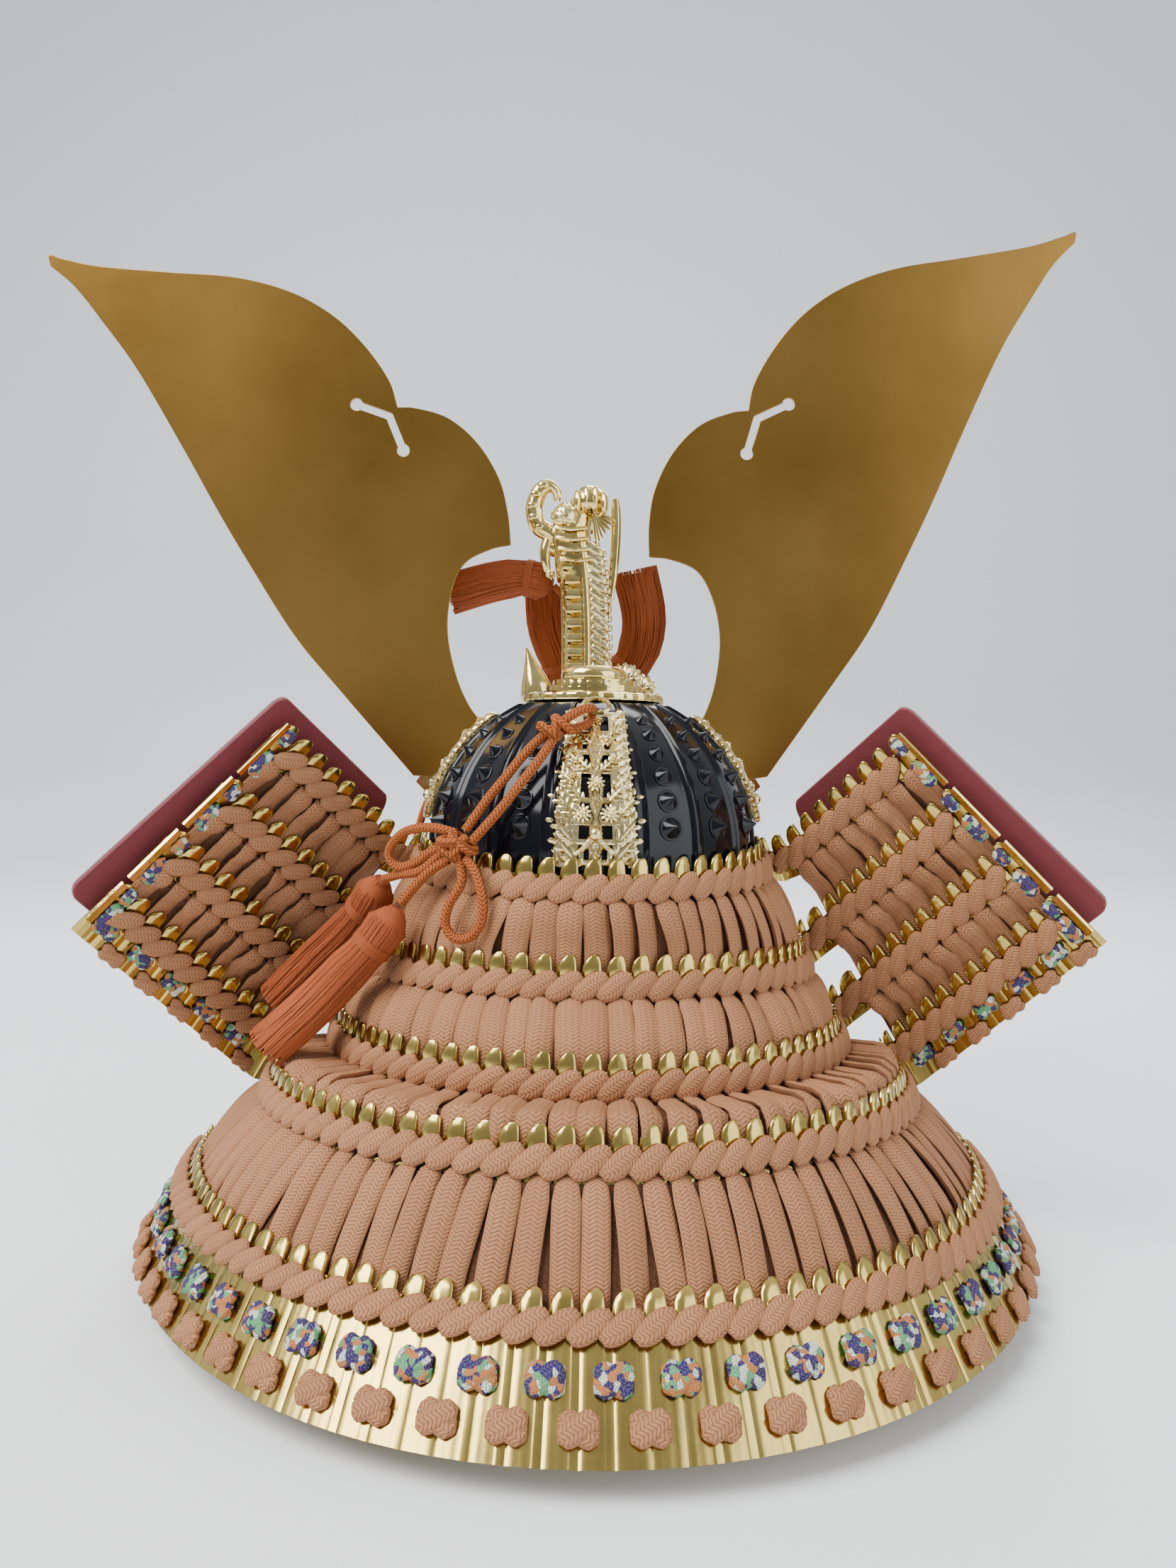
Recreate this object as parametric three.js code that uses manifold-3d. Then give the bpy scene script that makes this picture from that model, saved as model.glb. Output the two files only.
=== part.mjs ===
import * as THREE from "three";
import { mergeVertices } from "three/addons/utils/BufferGeometryUtils.js";
import Module from "manifold-3d";

const wasm = await Module();
wasm.setup();
const { Manifold } = wasm;

// Millimetres. The visor faces -Y, the neck guard faces +Y, and +Z is up.
// Heights are measured up from the lower rim of the neck guard until the last step.

// Sizes that everything else is a share of
const RIM_HALF_WIDTH = 125.5;
const CROWN_HEIGHT = 154;

// Thicknesses and clearances
const LAME_WALL = 0.8;
const PLATE_WALL = 1.2;
const BRAID = 1.8;
const GAP = 0.45;
const LOOSE_GAP = 0.75;
const CORD = 2.5;

// Bowl: a hollow dome with ribs and conical rivets
const BOWL = {
  radius: 47.5, centre: 3, stretch: 1.04, wall: 2,
  rim: 0.6623 * CROWN_HEIGHT, spring: 0.7013 * CROWN_HEIGHT, top: 0.9688 * CROWN_HEIGHT,
  rib: 0.9, ribHalf: 1.6, plates: 3, rivetFoot: 2.8, rivetRise: 3.4, rivetRoot: 0.6,
};
const DOME_RISE = CROWN_HEIGHT - BOWL.spring;
// Room between the bowl and the first row, and between the bowl and the visor
const NECK_CLEAR = LAME_WALL + GAP;
const VISOR_CLEAR = 1.4;

// Rows of the neck guard. radius: share of RIM_HALF_WIDTH. top, back and rise: shares of CROWN_HEIGHT.
// half: degrees from the back to a neck end. flare: a lame's lean from upright, in degrees.
// wingIn and wingOut: share of the way down a wing.
const ROWS = [
  { radius: (BOWL.radius + NECK_CLEAR) / RIM_HALF_WIDTH, top: 0.723,
    back: BOWL.centre / CROWN_HEIGHT, stretch: 1.117, rise: -0.021, half: 93, flare: 10, scales: 27, wingScales: 8, wingIn: 0, wingOut: 0 },
  { radius: 0.492, top: 0.537, back: 0.006, stretch: 0.99, rise: 0.012, half: 93, flare: 10, scales: 33,
    wingScales: 9, wingIn: 0.27, wingOut: 0.26 },
  { radius: 0.57, top: 0.403, back: 0.008, stretch: 1.07, rise: 0.012, half: 93, flare: 12, scales: 39,
    wingScales: 10, wingIn: 0.52, wingOut: 0.51 },
  { radius: 0.701, top: 0.322, back: 0.039, stretch: 1.1, rise: 0.029, half: 93, flare: 18, scales: 47,
    wingScales: 11, wingIn: 0.77, wingOut: 0.76 },
  { radius: 0.885, top: 0.148, back: -0.047, stretch: 1.13, rise: 0.015, half: 88, scales: 55,
    wingIn: 1, wingOut: 1 },
  { radius: 1, top: 0, back: -0.041, stretch: 1.16, rise: 0, half: 88 },
];
const ROW_NAMES = ["one", "two", "three", "four", "five"];
const WINGED_ROWS = 4;
const BEND_SCALES = 3;

// Corners of a turned-back wing. side and back: shares of RIM_HALF_WIDTH. up: share of CROWN_HEIGHT.
const WING_SHARES = {
  innerTop: { side: 0.4582, back: -0.012, up: 0.7305 },
  outerTop: { side: 0.6733, back: 0.2072, up: 0.9286 },
  outerBottom: { side: 1.1155, back: 0.2789, up: 0.5552 },
  innerBottom: { side: 0.8048, back: -0.0319, up: 0.2338 },
};

// Across a lame: heads, then the twisted row, then the band with the lace holes
const HEAD_RISE = 3.6;
const TWIST = { from: 5.4, to: 10.6, thick: 2.2, round: 1.3 };
const LACE_LAP = 2.8;
const LAME_DEPTH = TWIST.to + 0.8 + LACE_LAP;
const LACE_TUCK = 3.5;
// A curtain of braid between two lames. knee: height over the next row where it turns upright.
// foot: how far its back follows the lame past its foot. share and bulge: where it swells outwards.
const NECK_CURTAIN = { knee: 1.2, foot: 1.2, share: 0.4, bulge: 1.1, turned: false };
const WING_CURTAIN = { knee: 2.6, foot: 0.5, share: 0.6, bulge: 2.1, turned: true };
// How far the straight steps of a band of braid lie inside its curve
const BRAID_SAG = 0.34;

// Horns: flat plates in one upright plane in front of the bowl
const HORN = {
  plane: -BOWL.radius - 12.5, height: 214, footOut: 50.5, footUp: BOWL.rim + 36.4,
  stem: 14, stemHalf: 0.05, stemTop: -0.03, slot: 2.5, hole: 2.15,
};
const LEAN = { left: 36.6, right: 29.5 };
// Outline as shares of the horn's height: outwards, upwards
const HORN_OUTLINE = [
  [0.07, -0.014], [0.085, 0.16], [0.093, 0.28], [0.084, 0.42], [0.075, 0.515], [0.061, 0.63],
  [0.047, 0.77], [0.047, 0.865], [0.05, 0.935], [0.062, 0.985], [0.054, 1], [0.042, 0.985],
  [0, 0.94], [-0.084, 0.869], [-0.168, 0.799], [-0.226, 0.729], [-0.259, 0.659],
  [-0.272, 0.589], [-0.271, 0.523], [-0.257, 0.481], [-0.28, 0.463], [-0.313, 0.42],
  [-0.328, 0.36], [-0.323, 0.294], [-0.302, 0.24], [-0.276, 0.196], [-0.243, 0.21],
  [-0.196, 0.215], [-0.15, 0.187], [-0.11, 0.14], [-0.082, 0.079], [-0.07, 0.028],
  [-0.07, -0.014],
];
const HORN_SLOT = [[-0.206, 0.523], [-0.238, 0.477], [-0.224, 0.42]];

const GOLD = 0xc9a552;
const BRIGHT_GOLD = 0xe0c46c;
const BRASS = 0x9a7434;
const BLACK = 0x11141b;
const LACE = 0xb98a6a;
const RUST = 0xb8683c;
const MAROON = 0x6e1620;
const MIXED = 0x8fa39a;

const parts = [];

/** A named piece with its own material. */
function piece(name, geometry, colour) {
  const mesh = new THREE.Mesh(geometry, new THREE.MeshStandardMaterial({ color: colour }));
  mesh.name = name;
  parts.push(mesh);
}

const vec = (list) => new THREE.Vector3(...list);
const mix = (a, b, t) => a.clone().lerp(b, t);
const rad = THREE.MathUtils.degToRad;

/** A closed body from corner points and triangles that index them. */
function body(points, triangles) {
  const geometry = new THREE.BufferGeometry();
  const flat = points.flatMap((p) => [p.x, p.y, p.z]);
  geometry.setAttribute("position", new THREE.Float32BufferAttribute(flat, 3));
  geometry.setIndex(triangles.flat());
  return geometry;
}

function toSolid(geometry) {
  const bare = geometry.clone();
  bare.deleteAttribute("normal");
  bare.deleteAttribute("uv");
  const merged = mergeVertices(bare, 1e-4);
  return new Manifold(new wasm.Mesh({
    numProp: 3,
    vertProperties: Float32Array.from(merged.attributes.position.array),
    triVerts: Uint32Array.from(merged.index.array),
  }));
}

function fromSolid(solid) {
  const mesh = solid.getMesh();
  const geometry = new THREE.BufferGeometry();
  geometry.setAttribute("position", new THREE.Float32BufferAttribute(mesh.vertProperties, 3));
  geometry.setIndex(Array.from(mesh.triVerts));
  return geometry;
}

const fuse = (geometries) => fromSolid(Manifold.union(geometries.map(toSolid)));

/** Turns a closed body the right way out if its volume comes out negative. */
function outward(geometry) {
  const index = geometry.index.array;
  const position = geometry.attributes.position;
  const [a, b, c] = [new THREE.Vector3(), new THREE.Vector3(), new THREE.Vector3()];
  let volume = 0;
  for (let i = 0; i < index.length; i += 3) {
    a.fromBufferAttribute(position, index[i]);
    b.fromBufferAttribute(position, index[i + 1]);
    c.fromBufferAttribute(position, index[i + 2]);
    volume += a.dot(b.cross(c));
  }
  if (volume > 0) return geometry;
  const turned = geometry.clone();
  const flipped = Array.from(index);
  for (let i = 0; i < flipped.length; i += 3) {
    [flipped[i + 1], flipped[i + 2]] = [flipped[i + 2], flipped[i + 1]];
  }
  turned.setIndex(flipped);
  return turned;
}

/** Triangles over a flat ring of points, in the ring's own direction. */
function ringFaces(ring) {
  const normal = new THREE.Vector3();
  const from = ring.map((p) => p.clone().sub(ring[0]));
  from.forEach((p, k) => normal.add(p.clone().cross(from[(k + 1) % from.length])));
  normal.normalize();
  const aside = from[1].clone().normalize();
  const up = normal.clone().cross(aside);
  const flat = from.map((p) => new THREE.Vector2(p.dot(aside), p.dot(up)));
  return THREE.ShapeUtils.triangulateShape(flat, []);
}

/** A body skinned over rings of points, each ring in the same order, closed at both ends. */
function skin(rings) {
  const size = rings[0].length;
  const triangles = [];
  for (let r = 0; r + 1 < rings.length; r += 1) {
    for (let k = 0; k < size; k += 1) {
      const a = r * size + k;
      const b = r * size + (k + 1) % size;
      triangles.push([a, b, b + size], [a, b + size, a + size]);
    }
  }
  const last = (rings.length - 1) * size;
  ringFaces(rings[0]).forEach(([a, b, c]) => triangles.push([a, c, b]));
  ringFaces(rings[rings.length - 1]).forEach(([a, b, c]) => triangles.push([last + a, last + b, last + c]));
  return outward(body(rings.flat(), triangles));
}

/** A flat outline in X and Z with holes, thickened from y0 to y1. */
function plate(outline, holes, y0, y1) {
  const shape = new THREE.Shape(outline.map(([x, z]) => new THREE.Vector2(x, z)));
  holes.forEach((hole) => {
    shape.holes.push(new THREE.Path(hole.map(([x, z]) => new THREE.Vector2(x, z))));
  });
  const geometry = new THREE.ExtrudeGeometry(shape, {
    depth: y1 - y0, bevelEnabled: false, curveSegments: 1,
  });
  geometry.rotateX(Math.PI / 2);
  geometry.translate(0, y1, 0);
  return fromSolid(toSolid(geometry));
}

/** A round bar of changing radius along listed points. */
function bar(points, radii, sides) {
  const curve = points.map((p) => (Array.isArray(p) ? vec(p) : p.clone()));
  const first = curve[1].clone().sub(curve[0]).normalize();
  let side = Math.abs(first.y) > 0.8 ? new THREE.Vector3(0, 0, 1) : new THREE.Vector3(0, 1, 0);
  const rings = curve.map((p, i) => {
    const before = curve[Math.max(i - 1, 0)];
    const after = curve[Math.min(i + 1, curve.length - 1)];
    const along = after.clone().sub(before).normalize();
    side.addScaledVector(along, -side.dot(along)).normalize();
    const other = along.clone().cross(side);
    const radius = Array.isArray(radii) ? radii[i] : radii;
    const ring = [];
    for (let k = 0; k < sides; k += 1) {
      const turn = (2 * Math.PI * k) / sides;
      ring.push(p.clone().addScaledVector(side, radius * Math.cos(turn))
        .addScaledVector(other, radius * Math.sin(turn)));
    }
    side = side.clone();
    return ring;
  });
  return skin(rings);
}

// Neck guard

function ringPoint(row, degrees) {
  const { radius, top, back, stretch, rise } = ROWS[row];
  const a = rad(degrees);
  return new THREE.Vector3(
    radius * RIM_HALF_WIDTH * Math.sin(a),
    back * CROWN_HEIGHT + radius * RIM_HALF_WIDTH * stretch * Math.cos(a),
    CROWN_HEIGHT * (top + rise * Math.cos(a)),
  );
}

function wingCorner({ side, back, up }) {
  return new THREE.Vector3(side * RIM_HALF_WIDTH, back * RIM_HALF_WIDTH, up * CROWN_HEIGHT);
}

function wingPoint(across, down) {
  const { innerTop, outerTop, outerBottom, innerBottom } = WING_SHARES;
  const top = mix(wingCorner(innerTop), wingCorner(outerTop), across);
  const bottom = mix(wingCorner(innerBottom), wingCorner(outerBottom), across);
  return mix(top, bottom, down);
}

function wingShare(row, across) {
  const { wingIn, wingOut } = ROWS[row];
  return wingIn + (wingOut - wingIn) * across;
}

/** A place on a row with the way down to the next row and the depth of the lame there. */
function neckPlace(row, degrees) {
  const p = ringPoint(row, degrees);
  if (row + 1 === ROW_NAMES.length) {
    const fall = ringPoint(row + 1, degrees).sub(p);
    return { p, depth: fall.length(), down: fall.normalize() };
  }
  const along = ringPoint(row, degrees + 1).sub(p).setZ(0).normalize();
  const flare = rad(ROWS[row].flare);
  const down = new THREE.Vector3(
    -along.y * Math.sin(flare), along.x * Math.sin(flare), -Math.cos(flare),
  );
  return { p, down, depth: LAME_DEPTH };
}

function wingPlace(row, across) {
  const p = wingPoint(across, wingShare(row, across));
  const down = wingPoint(across, wingShare(row + 1, across)).sub(p);
  const depth = row + 1 < WINGED_ROWS ? LAME_DEPTH : down.length();
  return { p, down: down.normalize(), depth };
}

/** The fold between the neck and a wing, as a share from 0 to 1. */
function bendPlace(row, share) {
  const start = neckPlace(row, ROWS[row].half);
  const end = wingPlace(row, 0);
  const stepBack = ringPoint(row, ROWS[row].half - 1);
  const leave = start.p.clone().sub(stepBack).normalize();
  const enter = wingPlace(row, 1).p.sub(end.p).normalize();
  const handle = end.p.distanceTo(start.p) * 0.55 + 2;
  const curve = new THREE.CubicBezierCurve3(
    start.p,
    start.p.clone().addScaledVector(leave, handle),
    end.p.clone().addScaledVector(enter, -handle),
    end.p,
  );
  return {
    p: curve.getPoint(share),
    down: mix(start.down, end.down, share).normalize(),
    depth: start.depth + (end.depth - start.depth) * share,
  };
}

function mirrored(place) {
  return {
    ...place,
    p: place.p.clone().setX(-place.p.x),
    down: place.down.clone().setX(-place.down.x),
  };
}

/** Adds to each place of a run the way out of the surface, square to the row. */
function withOut(places) {
  return places.map((place, i) => {
    const before = places[Math.max(i - 1, 0)].p;
    const after = places[Math.min(i + 1, places.length - 1)].p;
    const along = after.clone().sub(before).normalize();
    return { ...place, out: along.cross(place.down.clone().negate()).normalize() };
  });
}

/** Places along the neck from its +X end to its -X end. */
function neckRun(row, steps, half = ROWS[row].half) {
  const places = [];
  for (let k = 0; k <= steps; k += 1) {
    const degrees = half * (1 - (2 * k) / steps);
    const place = neckPlace(row, Math.abs(degrees));
    places.push(degrees < 0 ? mirrored(place) : place);
  }
  return places;
}

/** Places along a whole row with both wings, one a scale edge. */
function fullRun(row) {
  if (row >= WINGED_ROWS) return withOut(neckRun(row, ROWS[row].scales));
  const side = [];
  for (let k = ROWS[row].wingScales; k > 0; k -= 1) {
    side.push(wingPlace(row, k / ROWS[row].wingScales));
  }
  for (let k = BEND_SCALES; k > 0; k -= 1) side.push(bendPlace(row, k / BEND_SCALES));
  return withOut([...side, ...neckRun(row, ROWS[row].scales), ...side.map(mirrored).reverse()]);
}

const lift = (place, downBy, outBy) => place.p.clone()
  .addScaledVector(place.down, downBy).addScaledVector(place.out, outBy);

/** A lame: a thin wall whose upper edge is a row of scale heads. */
function lame(places) {
  const points = [];
  const triangles = [];
  const heads = [[0, HEAD_RISE], [0.64, 0]];
  const column = heads.length + 1;
  places.forEach((place, i) => {
    const next = places[Math.min(i + 1, places.length - 1)];
    heads.forEach(([share, drop]) => {
      const top = lift(place, drop, 0).lerp(lift(next, drop, 0), share);
      const inner = lift(place, drop, -LAME_WALL).lerp(lift(next, drop, -LAME_WALL), share);
      points.push(top, inner);
    });
    points.push(lift(place, place.depth, 0), lift(place, place.depth, -LAME_WALL));
  });
  const at = (i, k, inner) => 2 * (i * column + k) + inner;
  const foot = heads.length;
  for (let i = 0; i + 1 < places.length; i += 1) {
    const tops = [[i, 0], [i, 1], [i + 1, 0]];
    const fans = [[[i, foot], [i, 1], [i, 0]], [[i, foot], [i + 1, foot], [i, 1]],
      [[i + 1, foot], [i + 1, 0], [i, 1]]];
    fans.forEach(([a, b, c]) => {
      triangles.push([at(...a, 0), at(...b, 0), at(...c, 0)]);
      triangles.push([at(...a, 1), at(...c, 1), at(...b, 1)]);
    });
    for (let k = 0; k + 1 < tops.length; k += 1) {
      const [a, b] = [tops[k], tops[k + 1]];
      triangles.push([at(...a, 0), at(...b, 0), at(...b, 1)], [at(...a, 0), at(...b, 1), at(...a, 1)]);
    }
    const [a, b] = [[i, foot], [i + 1, foot]];
    triangles.push([at(...a, 0), at(...b, 1), at(...b, 0)], [at(...a, 0), at(...a, 1), at(...b, 1)]);
  }
  const end = places.length - 1;
  triangles.push([at(0, 0, 0), at(0, 0, 1), at(0, foot, 1)], [at(0, 0, 0), at(0, foot, 1), at(0, foot, 0)]);
  triangles.push([at(end, 0, 0), at(end, foot, 1), at(end, 0, 1)],
    [at(end, 0, 0), at(end, foot, 0), at(end, foot, 1)]);
  return fromSolid(toSolid(body(points, triangles)));
}

/** The band of twisted braid under the heads. */
function twist(places) {
  const { from, to, thick, round } = TWIST;
  return skin(places.map((place) => [
    lift(place, to, LOOSE_GAP),
    lift(place, to - round, LOOSE_GAP + thick),
    lift(place, from + round, LOOSE_GAP + thick),
    lift(place, from, LOOSE_GAP),
  ]));
}

/**
 * The curtain of braid from the foot of one lame to the back of the next one's heads.
 * A turned one steps in over a short way, so its back bends at the knee too.
 */
function curtain(upper, lower, form) {
  const tuck = -(LAME_WALL + LOOSE_GAP);
  return skin(upper.map((place, i) => {
    const under = lower[i];
    const top = lift(place, place.depth - LACE_LAP, LOOSE_GAP + BRAID);
    const knee = lift(under, -form.knee, tuck);
    return [
      lift(under, LACE_TUCK, tuck - BRAID),
      lift(under, LACE_TUCK, tuck),
      knee,
      mix(top, knee, form.share).addScaledVector(place.out, form.bulge),
      top,
      lift(place, place.depth - LACE_LAP, LOOSE_GAP),
      lift(place, place.depth + form.foot, LOOSE_GAP),
      ...(form.turned ? [lift(under, -form.knee, tuck - BRAID)] : []),
    ];
  }));
}

function wingRun(row, from, to, steps) {
  const places = [];
  for (let k = 0; k <= steps; k += 1) places.push(wingPlace(row, to + (from - to) * (k / steps)));
  return withOut(places);
}

function mirrorBody(geometry) {
  const solid = toSolid(geometry);
  return fromSolid(solid.mirror([1, 0, 0]));
}

/** A pair of pieces, one a side. The left one is on the +X side, which is the wearer's left. */
function pair(name, geometry, colour) {
  piece(`${name}_left`, geometry, colour);
  piece(`${name}_right`, mirrorBody(geometry), colour);
}

/** Steps round a row's neck whose middles lie BRAID_SAG inside its curve. */
function braidSteps(row) {
  const reach = ROWS[row].radius * RIM_HALF_WIDTH;
  const step = 2 * Math.acos(1 - BRAID_SAG / reach);
  return Math.ceil(rad(2 * ROWS[row].half) / step);
}

const WING_TRIM = { from: 0.06, to: 0.9 };

ROW_NAMES.forEach((name, row) => {
  piece(`lame_${name}`, lame(fullRun(row)), GOLD);
  const steps = braidSteps(row);
  piece(`twisted_row_${name}`, twist(withOut(neckRun(row, steps))), LACE);
  if (row < WINGED_ROWS) {
    const upper = withOut(neckRun(row, steps, ROWS[WINGED_ROWS].half));
    const lower = withOut(neckRun(row + 1, steps, ROWS[WINGED_ROWS].half));
    piece(`lacing_${name}`, curtain(upper, lower, NECK_CURTAIN), LACE);
    const { from, to } = WING_TRIM;
    pair(`wing_twisted_row_${name}`, twist(wingRun(row, from, to, 2)), LACE);
    if (row + 1 < WINGED_ROWS) {
      const above = wingRun(row, from, to, 3);
      const below = wingRun(row + 1, from, to, 3);
      pair(`wing_lacing_${name}`, curtain(above, below, WING_CURTAIN), LACE);
    }
  }
});

// Wing boards and the braid along each wing's outer edge

const BOARD = { back: 4.6, thick: 2.4, inner: 0.1, beyond: 0.09, above: -0.05, below: 0.93, corner: 0.05 };

function roundedSquare(x0, x1, y0, y1, corner, steps) {
  const points = [];
  [[x1, y1, 0], [x0, y1, 90], [x0, y0, 180], [x1, y0, 270]].forEach(([x, y, start]) => {
    const cx = x - Math.sign(x - (x0 + x1) / 2) * corner;
    const cy = y - Math.sign(y - (y0 + y1) / 2) * corner;
    for (let k = 0; k <= steps; k += 1) {
      const turn = rad(start + (90 * k) / steps);
      points.push([cx + corner * Math.cos(turn), cy + corner * Math.sin(turn)]);
    }
  });
  return points;
}

function wingOut(across, down) {
  const side = wingPoint(across + 0.1, down).sub(wingPoint(across - 0.1, down));
  const fall = wingPoint(across, down + 0.1).sub(wingPoint(across, down - 0.1));
  return fall.cross(side).normalize();
}

function board() {
  const { inner, beyond, above, below, corner } = BOARD;
  const outline = roundedSquare(inner, 1 + beyond, above, below, corner, 3);
  const flat = outline.map(([u, v]) => new THREE.Vector2(u, v));
  const faces = THREE.ShapeUtils.triangulateShape(flat, []);
  const facing = wingOut(0.5, 0.5).y > 0 ? 1 : -1;
  const layer = (depth) => outline.map(([u, v]) => wingPoint(u, v)
    .addScaledVector(wingOut(u, v), -facing * depth));
  const count = outline.length;
  const points = [...layer(BOARD.back), ...layer(BOARD.back + BOARD.thick)];
  const triangles = [];
  faces.forEach(([a, b, c]) => triangles.push([a, c, b], [a + count, b + count, c + count]));
  for (let k = 0; k < count; k += 1) {
    const n = (k + 1) % count;
    triangles.push([k, n, n + count], [k, n + count, k + count]);
  }
  return outward(body(points, triangles));
}

pair("wing_board", board(), MAROON);

const EDGE = { from: 0.925, to: 0.985, thick: 1.4, steps: 6 };

function edgeBraid() {
  const rings = [];
  for (let k = 0; k <= EDGE.steps; k += 1) {
    const down = 0.02 + (0.96 * k) / EDGE.steps;
    const out = wingOut(1, down);
    if (out.y < 0) out.negate();
    const [a, b] = [wingPoint(EDGE.from, down), wingPoint(EDGE.to, down)];
    rings.push([
      a.clone().addScaledVector(out, GAP), b.clone().addScaledVector(out, GAP),
      b.clone().addScaledVector(out, GAP + EDGE.thick), a.clone().addScaledVector(out, GAP + EDGE.thick),
    ]);
  }
  return skin(rings);
}

pair("wing_edge_braid", edgeBraid(), MIXED);

// Bowl

function domeRadius(height, outset = 0) {
  const rise = Math.min(Math.max((height - BOWL.spring) / (DOME_RISE + outset), 0), 1);
  return (BOWL.radius + outset) * Math.sqrt(1 - rise * rise);
}

/** A point on the bowl, or outset from it, degrees round from the back. */
function bowlPoint(degrees, height, outset = 0) {
  const r = domeRadius(height, outset);
  const a = rad(degrees);
  return new THREE.Vector3(r * Math.sin(a), BOWL.centre + BOWL.stretch * r * Math.cos(a), height);
}

const PANEL_HALF_ANGLE = 15;
const PLATE_ANGLE = (90 - 2 * PANEL_HALF_ANGLE) / BOWL.plates;

function shellRing(height, outset, ribs) {
  const ring = [];
  for (let quarter = 0; quarter < 4; quarter += 1) {
    const start = 90 * quarter + PANEL_HALF_ANGLE;
    for (let k = 0; k <= BOWL.plates; k += 1) {
      const edge = start + k * PLATE_ANGLE;
      const inside = k > 0 && k < BOWL.plates;
      if (inside) {
        const ridge = bowlPoint(edge, height, outset + (ribs ? BOWL.rib : 0));
        ring.push(
          bowlPoint(edge - BOWL.ribHalf, height, outset), ridge,
          bowlPoint(edge + BOWL.ribHalf, height, outset),
        );
      } else {
        ring.push(bowlPoint(edge, height, outset));
      }
      if (k < BOWL.plates) ring.push(bowlPoint(edge + PLATE_ANGLE / 2, height, outset));
    }
  }
  return ring;
}

/** A height on the dome from its share of the way from the spring to the crown. */
const domeHeight = (share) => BOWL.spring + share * DOME_RISE;

const OUTER_LEVELS = [BOWL.rim, ...[0, 0.217, 0.435, 0.63, 0.783].map(domeHeight), BOWL.top];
// The inside of the crown, where the helmet sits on a head
const SEAT = BOWL.top - BOWL.wall;

function plainRing(height, outset, sides) {
  const ring = [];
  for (let k = 0; k < sides; k += 1) ring.push(bowlPoint((360 * k) / sides, height, outset));
  return ring;
}

// Rivets of a column from the lowest up. up: share of the dome's rise. size: share of the lowest rivet.
const RIVETS = [
  { up: 0.163, size: 1 }, { up: 0.315, size: 0.915 }, { up: 0.457, size: 0.83 },
  { up: 0.587, size: 0.745 }, { up: 0.696, size: 0.66 }, { up: 0.783, size: 0.575 },
];

function rivet(degrees, height, share) {
  const foot = bowlPoint(degrees, height, -BOWL.rivetRoot);
  const above = bowlPoint(degrees, height + 0.5);
  const aside = bowlPoint(degrees + 0.5, height);
  const here = bowlPoint(degrees, height);
  const out = aside.sub(here).cross(above.sub(here)).normalize();
  if (out.x * here.x + out.y * (here.y - BOWL.centre) < 0) out.negate();
  const rise = BOWL.rivetRise * share + BOWL.rivetRoot;
  const cone = new THREE.ConeGeometry(BOWL.rivetFoot * share, rise, 4);
  cone.translate(0, rise / 2, 0);
  cone.applyQuaternion(new THREE.Quaternion().setFromUnitVectors(new THREE.Vector3(0, 1, 0), out));
  cone.translate(foot.x, foot.y, foot.z);
  return cone;
}

function bowl() {
  const outer = skin(OUTER_LEVELS.map((z) => shellRing(z, 0, z > BOWL.rim)));
  const innerLevels = [BOWL.rim - 1, ...[0, 0.348, 0.63].map(domeHeight), SEAT];
  const hollow = skin(innerLevels.map((z) => plainRing(z, -BOWL.wall, 20)));
  const rivets = [];
  for (let quarter = 0; quarter < 4; quarter += 1) {
    for (let k = 0; k < BOWL.plates; k += 1) {
      const degrees = 90 * quarter + PANEL_HALF_ANGLE + (k + 0.5) * PLATE_ANGLE;
      RIVETS.forEach(({ up, size }) => {
        rivets.push(toSolid(rivet(degrees, domeHeight(up), size)));
      });
    }
  }
  const shell = Manifold.union([toSolid(outer), ...rivets]).subtract(toSolid(hollow));
  return fromSolid(shell);
}

piece("bowl", bowl(), BLACK);

// Openwork panels: a leaf border and a flowered stem laid on the bowl

const PANEL = {
  thick: 2, foot: 11, head: 7.2, holes: 5, lift: 0.6, belowTop: 2.6,
  notch: 1, stem: 1.6, holeHalf: 1.5, holeReach: 0.62, holeSlant: 0.9,
};

/**
 * Wraps flat bands, across in mm and up as a height, on the bowl between two outsets.
 * walls are the loops round the whole and round each hole.
 */
function wrapped(bands, walls, middle, inner, outer) {
  const place = ([x, z], outset) => bowlPoint(
    middle + THREE.MathUtils.radToDeg(x / Math.max(domeRadius(z), 1)), z, outset,
  );
  const points = [];
  const triangles = [];
  const add = (loop, outset) => loop.forEach((q) => points.push(place(q, outset)));
  bands.forEach(({ outline, holes }) => {
    const flat = [outline, ...holes].map((loop) => loop.map(([x, z]) => new THREE.Vector2(x, z)));
    const faces = THREE.ShapeUtils.triangulateShape(flat[0], flat.slice(1));
    const all = [outline, ...holes].flat();
    const [low, high] = [points.length, points.length + all.length];
    add(all, inner);
    add(all, outer);
    faces.forEach(([a, b, c]) => {
      triangles.push([low + a, low + b, low + c], [high + a, high + c, high + b]);
    });
  });
  walls.forEach((loop) => {
    const [low, high] = [points.length, points.length + loop.length];
    add(loop, inner);
    add(loop, outer);
    loop.forEach((_, k) => {
      const next = (k + 1) % loop.length;
      triangles.push([low + k, high + next, low + next], [low + k, high + k, high + next]);
    });
  });
  return fromSolid(toSolid(outward(body(points, triangles))));
}

/** A loop through points on the right and their mirror on the left, closed at the middle. */
function evenLoop(right) {
  const left = right.map(([x, z]) => [-x, z]).reverse();
  return [[0, right[0][1]], ...right, [0, left[0][1]], ...left];
}

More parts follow.
